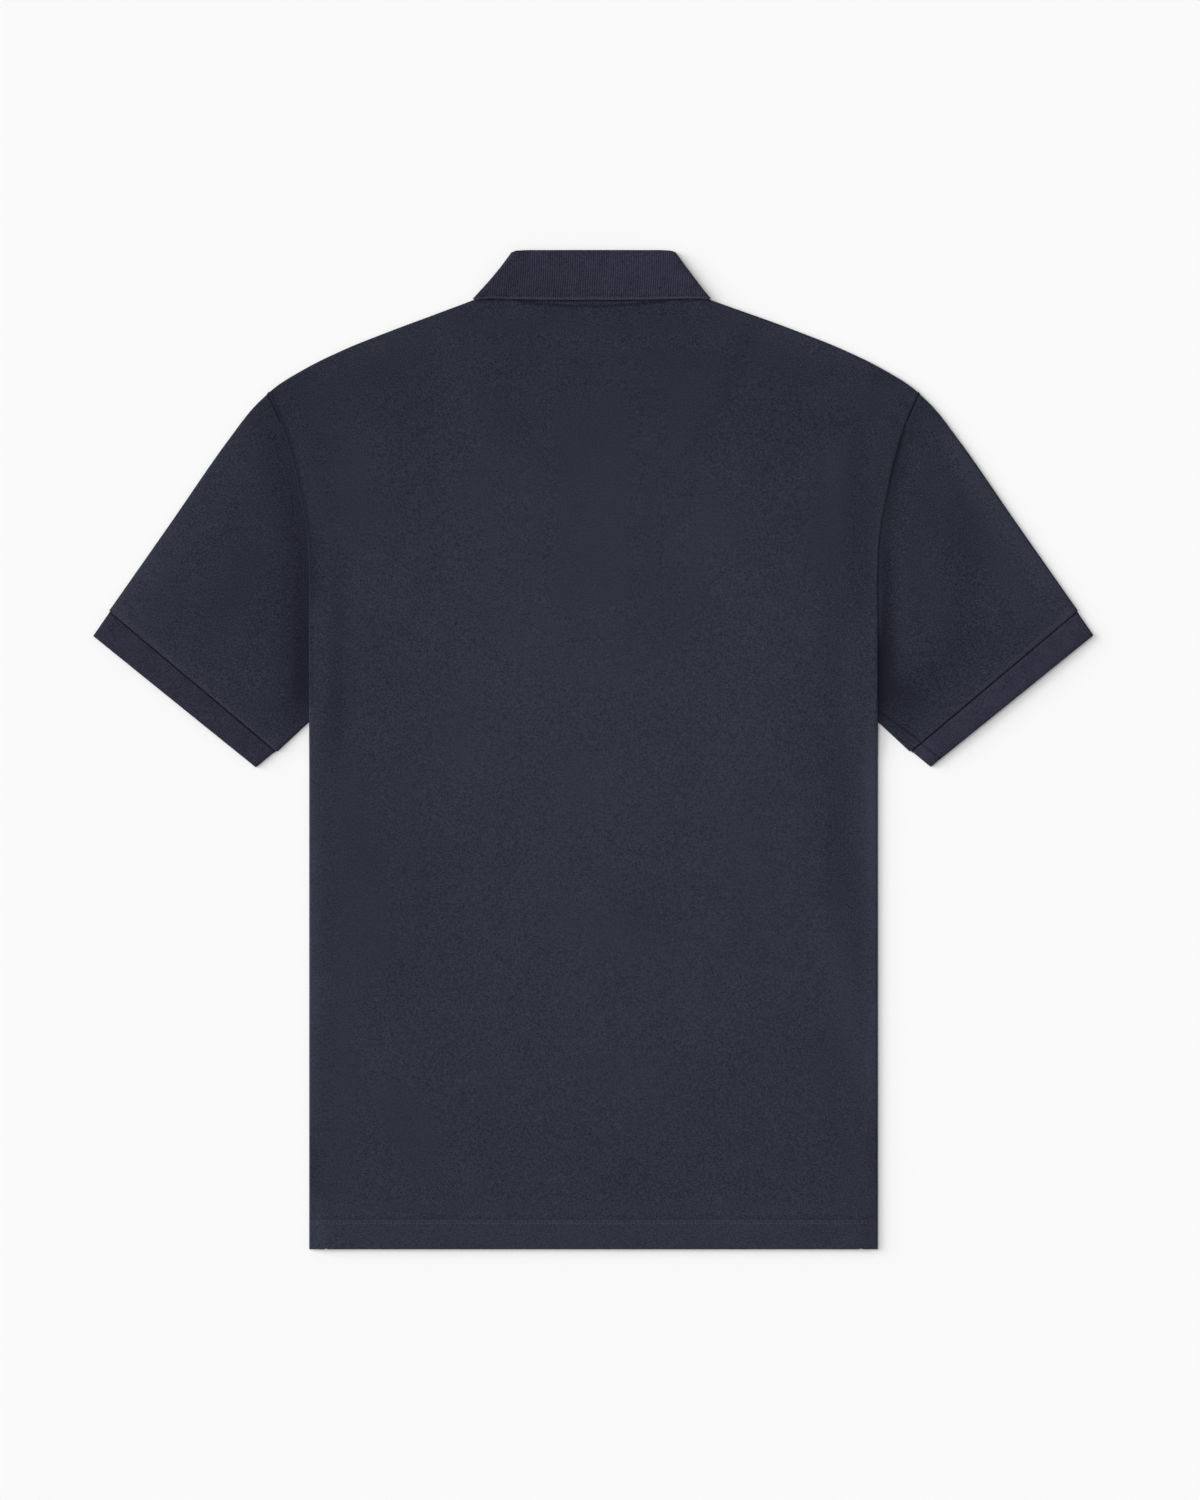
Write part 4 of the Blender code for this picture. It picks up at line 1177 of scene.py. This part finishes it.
def sewn(name, node, finish, paths, stitch=STITCH):
    """Piece of stitching along each of the paths."""
    mesh = bmesh.new()
    for path in paths:
        sew(mesh, path, stitch, STITCH_PITCH - stitch, THREAD)
    return make_piece(name, mesh, finish, node)


def make_hem_stitching(finish):
    pieces = []
    for name, reach, height in (("back", 217.0, lambda x, y: back_height(x, y) + WALL / 2 + 0.02),
                                ("front", 209.0, lambda x, y: front_height(x, y) - WALL / 2)):
        rows = [straight((-reach, y), (reach, y), height, 240)
                for y in (HEM_SEAM_Y - HEM_NEEDLES, HEM_SEAM_Y + HEM_NEEDLES)]
        pieces.append(sewn(f"{name}_hem_stitching", f"{name}_panel", finish, rows))
    return pieces


def make_neck_stitching(finish):
    xs = np.linspace(-NECK_LINE_REACH, NECK_LINE_REACH, 120)
    ys = neck_line(xs)
    places = np.stack([xs + neck_pull(xs, ys), ys, back_height(xs, ys) + WALL / 2 + 0.01], axis=1)
    return sewn("neck_stitching", "back_panel", finish, [places], stitch=2.4)


def make_placket_stitching(finish):
    half = PLACKET_HALF - GAP - PLACKET_STITCH_IN
    low = PLACKET_LINES[0]

    def under(x, y):
        return front_height(x, y) - WALL / 2 + THREAD

    sides = [straight((x, low), (x, FRONT_NECK_Y - 1.5), under, 160) for x in (-half, half)]
    lines = [straight((-half, y), (half, y), under) for y in PLACKET_LINES]
    return sewn("placket_stitching", "placket_top", finish, sides + lines)


def make_buttonholes(finish):
    """Close zigzag stitches round each buttonhole, most of it behind its button."""
    mesh = bmesh.new()
    stitch = Matrix.Diagonal((0.00062, 0.00024, 0.0002, 1.0))
    for button_y in BUTTON_YS:
        for x in (-BUTTONHOLE_GAP, BUTTONHOLE_GAP):
            for y in np.linspace(button_y - BUTTONHOLE_HALF, button_y + BUTTONHOLE_HALF, BUTTONHOLE_STITCHES):
                z = float(front_height(np.array(x), y)) - WALL / 2 + 0.08
                spot = Matrix.Translation(Vector((x, y, z)) / 1000.0)
                bmesh.ops.create_icosphere(mesh, subdivisions=1, radius=1.0, matrix=spot @ stitch)
    return make_piece("buttonhole_stitching", mesh, finish, "placket_top")


def button_holes(y):
    """Middles of a button's four holes."""
    angles = [math.pi / 4 + quarter * math.pi / 2 for quarter in range(4)]
    return [(math.cos(angle) * HOLE_OFFSET, y + math.sin(angle) * HOLE_OFFSET) for angle in angles]


def add_pins(mesh, y, radius, middle, length, segments):
    """Upright pins at a button's holes."""
    for spot in button_holes(y):
        bmesh.ops.create_cone(mesh, cap_ends=True, segments=segments, radius1=radius / 1000.0,
                              radius2=radius / 1000.0, depth=length / 1000.0,
                              matrix=Matrix.Translation(Vector((*spot, middle)) / 1000.0))


def make_button(name, finish, y):
    """Four-hole button, face down on the floor, turned about its own axis."""
    profile = (
        # distance from the axis as a share of the radius, height
        (0.0, 0.62), (0.30, 0.62), (0.56, 0.56), (0.66, 0.38), (0.72, 0.14), (0.79, 0.02), (0.86, 0.0),
        (0.93, 0.07), (0.98, 0.27), (1.0, 0.55), (1.0, BUTTON_HEIGHT - 0.55), (0.97, BUTTON_HEIGHT - 0.2),
        (0.90, BUTTON_HEIGHT), (0.0, BUTTON_HEIGHT),
    )
    mesh = bmesh.new()
    verts = [mesh.verts.new(Vector((share * BUTTON_RADIUS, y, z)) / 1000.0) for share, z in profile]
    edges = [mesh.edges.new(pair) for pair in zip(verts, verts[1:])]
    bmesh.ops.spin(mesh, geom=verts + edges, cent=(0.0, y / 1000.0, 0.0), axis=(0.0, 0.0, 1.0),
                   angle=TAU, steps=64, use_merge=True)
    bmesh.ops.remove_doubles(mesh, verts=mesh.verts, dist=1e-6)
    bmesh.ops.recalc_face_normals(mesh, faces=mesh.faces)
    button = make_piece(name, mesh, finish, name.replace("resin_", ""))
    holes = bmesh.new()
    add_pins(holes, y, HOLE_RADIUS, BUTTON_HEIGHT / 2, length=6.0, segments=20)
    cutter = add_object("holes", holes)
    cut = button.modifiers.new("Holes", "BOOLEAN")
    cut.operation = "DIFFERENCE"
    cut.solver = "EXACT"
    cut.object = cutter
    bpy.context.view_layer.update()
    whole = bpy.data.meshes.new_from_object(button.evaluated_get(bpy.context.evaluated_depsgraph_get()))
    button.modifiers.clear()
    button.data = whole
    bpy.data.objects.remove(cutter)
    return button


def make_button_threads(finish):
    """Two bars of thread across each button's holes, and the thread down through them."""
    mesh = bmesh.new()
    share = np.linspace(0.0, 1.0, 14)
    heights = 0.42 + 1.1 * np.abs(2.0 * share - 1.0) ** 8
    for y in BUTTON_YS:
        spots = np.array(button_holes(y))
        for first, last in ((0, 1), (3, 2)):
            for shift in (-0.24, 0.0, 0.24):
                bar = spots[first] + share[:, None] * (spots[last] - spots[first]) + (0.0, shift)
                sew(mesh, np.column_stack([bar, heights]), stitch=1.2, gap=-0.6, thread=0.16)
        add_pins(mesh, y, HOLE_THREAD, 1.35, length=1.6, segments=12)
    return make_piece("button_threads", mesh, finish, "placket_under")


# ---- Finishes ----

class Field:
    """Number or colour that varies over a surface, as the output of a shader node."""

    def __init__(self, finish, socket):
        self.finish, self.socket = finish, socket

    def math(self, operation, first, second=0.0):
        return self.finish.node("ShaderNodeMath", {"operation": operation}, {0: first, 1: second})

    def __add__(self, other):
        return self.math("ADD", self, other)

    def __sub__(self, other):
        return self.math("SUBTRACT", self, other)

    def __rsub__(self, other):
        return self.math("SUBTRACT", other, self)

    def __mul__(self, other):
        return self.math("MULTIPLY", self, other)

    __radd__ = __add__
    __rmul__ = __mul__

    def cosine(self):
        return self.math("COSINE", self)

    def between(self, low, high):
        """Go smoothly from 0 to 1 between two values."""
        return self.finish.node("ShaderNodeMapRange", {"interpolation_type": "SMOOTHSTEP"},
                                {"Value": self, "From Min": low, "From Max": high})


class Finish:
    """Material that is made as a tree of shader nodes."""

    def __init__(self, name, roughness, sheen=0.0):
        self.material = bpy.data.materials.new(name)
        self.material.use_nodes = True
        self.tree = self.material.node_tree
        self.shader = self.tree.nodes["Principled BSDF"]
        self.feed("Roughness", roughness)
        self.feed("Sheen Weight", sheen)
        self.feed("Sheen Roughness", 0.45)
        self.feed("Sheen Tint", (0.70, 0.76, 1.0, 1.0))
        self.feed("Specular IOR Level", 0.12)

    def feed(self, name, value, inputs=None):
        """Set a socket of the shader, or of another node, to a value or link a field to it."""
        socket = (inputs or self.shader.inputs)[name]
        if isinstance(value, Field):
            self.tree.links.new(value.socket, socket)
        else:
            socket.default_value = value

    def node(self, kind, settings, values, output=0):
        made = self.tree.nodes.new(kind)
        for name, value in settings.items():
            setattr(made, name, value)
        for name, value in values.items():
            self.feed(name, value, made.inputs)
        return Field(self, made.outputs[output])

    def noise(self, size, detail=2.0):
        """Noise in the cloth whose spots are about size (mm) across."""
        where = self.node("ShaderNodeTexCoord", {}, {}, "Object")
        values = {"Vector": where, "Scale": 1000.0 / size, "Detail": detail}
        return self.node("ShaderNodeTexNoise", {}, values)

    def flat(self):
        """Where a point was on the flat cloth, across and along the knit (m)."""
        place = self.node("ShaderNodeUVMap", {"uv_map": "cloth"}, {})
        return tuple(self.node("ShaderNodeSeparateXYZ", {}, {0: place}, axis) for axis in (0, 1))

    # Tone of each point of the cloth: its fading, with painted shade and painted light.
    def fade(self):
        return self.node("ShaderNodeAttribute", {"attribute_name": "fade"}, {}, "Fac")

    def mix(self, factor, first, second):
        return self.node("ShaderNodeMix", {"data_type": "RGBA"},
                         {0: factor, 6: (*first, 1.0), 7: (*second, 1.0)}, 2)

    def bump(self, height, depth):
        values = {"Height": height, "Distance": depth / 1000.0, "Strength": 1.0}
        self.feed("Normal", self.node("ShaderNodeBump", {}, values))


def tinted(color, *shares):
    """A colour made lighter or darker, by one share or by one for each of red, green and blue."""
    return tuple(part * share for part, share in zip(color, shares if len(shares) > 1 else shares * 3))


def dyed(finish, tone, color, mottles):
    """Colour of washed navy cloth by its tone, which holds fading and painted shade and light: the dark end
    is bluer, so dark spots stay bluer.

    mottles lists the size (mm), detail and strength of the patches that faded unevenly.
    """
    tone = tone + finish.fade() * 0.5
    for size, detail, strength in mottles:
        tone = tone + (finish.noise(size, detail) - 0.5) * strength
    darkest, lightest = tinted(color, 0.33, 0.33, 0.43), tinted(color, 1.67, 1.67, 1.57)
    finish.feed("Base Color", finish.mix(tone, darkest, lightest))


def pique_finish(name, color):
    """Washed pique: staggered small cells, uneven yarn and a soft mottle."""
    finish = Finish(name, 0.82, sheen=0.08)
    across, along = finish.flat()
    across = across + finish.noise(9.0) * 0.0030
    wide, high = (TAU * 1000.0 / size for size in PIQUE_CELL)
    cells = (across * wide).cosine() * (along * high).cosine()
    sunk = cells.between(-0.1, 1.0)
    yarn = finish.noise(0.90, 2.0)
    fibre = finish.noise(0.35, 1.0)
    finish.bump((1.0 - sunk) * 0.8 + yarn * 0.6 + fibre * 0.15, 0.36)
    # The sunk cells are a little darker: painted shade in the hollows of the knit.
    tone = 0.5 + (yarn - 0.5) * 2.4 - (sunk - 0.25) * 0.40
    dyed(finish, tone, color, ((2.4, 1.0, 0.12), (11.0, 2.0, 0.10), (70.0, 2.0, 0.18)))
    finish.feed("Roughness", 0.78 + yarn * 0.14)
    return finish


def rib_finish(name, color):
    """Flat-knitted rib: fine cords with a groove between each pair."""
    finish = Finish(name, 0.82, sheen=0.09)
    across, along = finish.flat()
    across = across + finish.noise(16.0) * 0.0014
    cord = (across * (TAU * 1000.0 / RIB_CORD)).cosine() * 0.5 + 0.5
    loops = (along * (TAU * 1000.0 / RIB_LOOP)).cosine() * 0.5 + 0.5
    yarn = finish.noise(0.9, 2.0)
    finish.bump(cord * 0.6 + cord * loops * 0.2 + yarn * 0.6, 0.29)
    # The grooves between the cords are a little darker: painted shade.
    tone = 0.5 + (yarn - 0.5) * 1.9 + (cord - 0.5) * 0.16
    dyed(finish, tone, color, ((2.6, 2.0, 0.50), (14.0, 2.0, 0.40)))
    finish.feed("Roughness", 0.78 + yarn * 0.14)
    return finish


def thread_finish(name, color):
    """Sewing thread: twisted, a little glossier than the cloth."""
    finish = Finish(name, 0.55, sheen=0.2)
    twist = finish.noise(0.5, 1.0)
    finish.bump(twist, 0.08)
    finish.feed("Base Color", finish.mix(twist, tinted(color, 0.7), tinted(color, 1.3)))
    return finish


def resin_finish(name, color):
    """Moulded button resin: satin, with a faint cloud and fine scuffs."""
    finish = Finish(name, 0.30)
    finish.feed("Specular IOR Level", 0.5)
    cloud, scuff = finish.noise(3.0, 3.0), finish.noise(0.4, 2.0)
    finish.bump(scuff, 0.01)
    finish.feed("Base Color", finish.mix(cloud, tinted(color, 0.75), tinted(color, 1.35)))
    finish.feed("Roughness", 0.24 + scuff * 0.16)
    return finish


# ---- Surroundings ----

FLOOR_TONE = 0.885
SKY_STRENGTH = 0.26
LIGHTS = (
    # name, the way it shines, strength, its breadth (degrees)
    ("window", (0.88, -0.24, -0.37), 2.78, 38.0),
    ("fill", (0.3, -0.12, -1.0), 1.614, 54.0),
)
LENS = 150.0
SENSOR = 36.0
VIEW_HEIGHT = 1.1717        # height (m) of what the camera sees at the floor
VIEW_MIDDLE = (0.00507, -0.00027)


def make_surroundings():
    """Pale floor, soft light from the upper left and a camera straight above."""
    scene = bpy.context.scene
    grid = bmesh.new()
    bmesh.ops.create_grid(grid, x_segments=1, y_segments=1, size=12.0)
    floor = add_object("floor", grid)
    paper = Finish("paper_floor", 0.9)
    paper.feed("Base Color", (FLOOR_TONE, FLOOR_TONE, FLOOR_TONE, 1.0))
    paper.feed("Specular IOR Level", 0.0)
    floor.data.materials.append(paper.material)

    scene.world = bpy.data.worlds.new("studio")
    scene.world.use_nodes = True
    sky = scene.world.node_tree.nodes["Background"].inputs
    sky["Color"].default_value = (1.0, 1.0, 1.0, 1.0)
    sky["Strength"].default_value = SKY_STRENGTH

    for name, way, strength, breadth in LIGHTS:
        lamp = bpy.data.lights.new(name, "SUN")
        lamp.energy = strength
        lamp.angle = math.radians(breadth)
        light = link(bpy.data.objects.new(name, lamp))
        light.rotation_mode = "QUATERNION"
        light.rotation_quaternion = Vector(way).to_track_quat("-Z", "Y")

    view = bpy.data.cameras.new("camera")
    view.lens = LENS
    view.sensor_width = SENSOR
    view.clip_end = 50.0
    scene.camera = link(bpy.data.objects.new("camera", view))
    scene.camera.location = (*VIEW_MIDDLE, VIEW_HEIGHT * LENS / SENSOR)
    scene.view_settings.view_transform = "Standard"
    scene.view_settings.look = "None"


def main():
    pique = pique_finish("navy_pique", NAVY)
    rib = rib_finish("navy_rib", NAVY_RIB)
    thread = thread_finish("navy_thread", tinted(NAVY, 1.7))
    dark_thread = thread_finish("dark_thread", tinted(NAVY, 0.7))
    resin = resin_finish("navy_resin", BUTTON_NAVY)

    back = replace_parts(make_back(pique), "back_panel")
    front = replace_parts(make_front(pique), "front_panel")
    sleeves = [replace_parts(make_sleeve(side, pique), f"sleeve_{side}") for side in ("left", "right")]
    cuffs = [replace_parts(make_cuff(side, rib), f"cuff_{side}") for side in ("left", "right")]
    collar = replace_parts(make_collar(rib), "collar")
    top_strip = make_placket("placket_top_strip", pique, PLACKET_HALF - GAP, 0, True)
    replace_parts(top_strip, "placket_top")
    under_strip = make_placket("placket_under_strip", pique, PLACKET_HALF - 1.0, 1, False)
    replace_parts(under_strip, "placket_under")
    for number, y in enumerate(BUTTON_YS, start=1):
        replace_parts(make_button(f"resin_button_{number}", resin, y), f"button_{number}")
    back_hem, front_hem = make_hem_stitching(thread)
    neck_sewing = make_neck_stitching(dark_thread)
    placket_line = make_placket_stitching(thread)
    buttonholes = make_buttonholes(thread)
    make_button_threads(thread)
    neck_allowance, *allowances = make_allowances(pique, rib)

    for sleeve, allowance in zip(sleeves, allowances[0::2]):
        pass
    for cuff, allowance in zip(cuffs, allowances[1::2]):
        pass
    make_surroundings()


main()
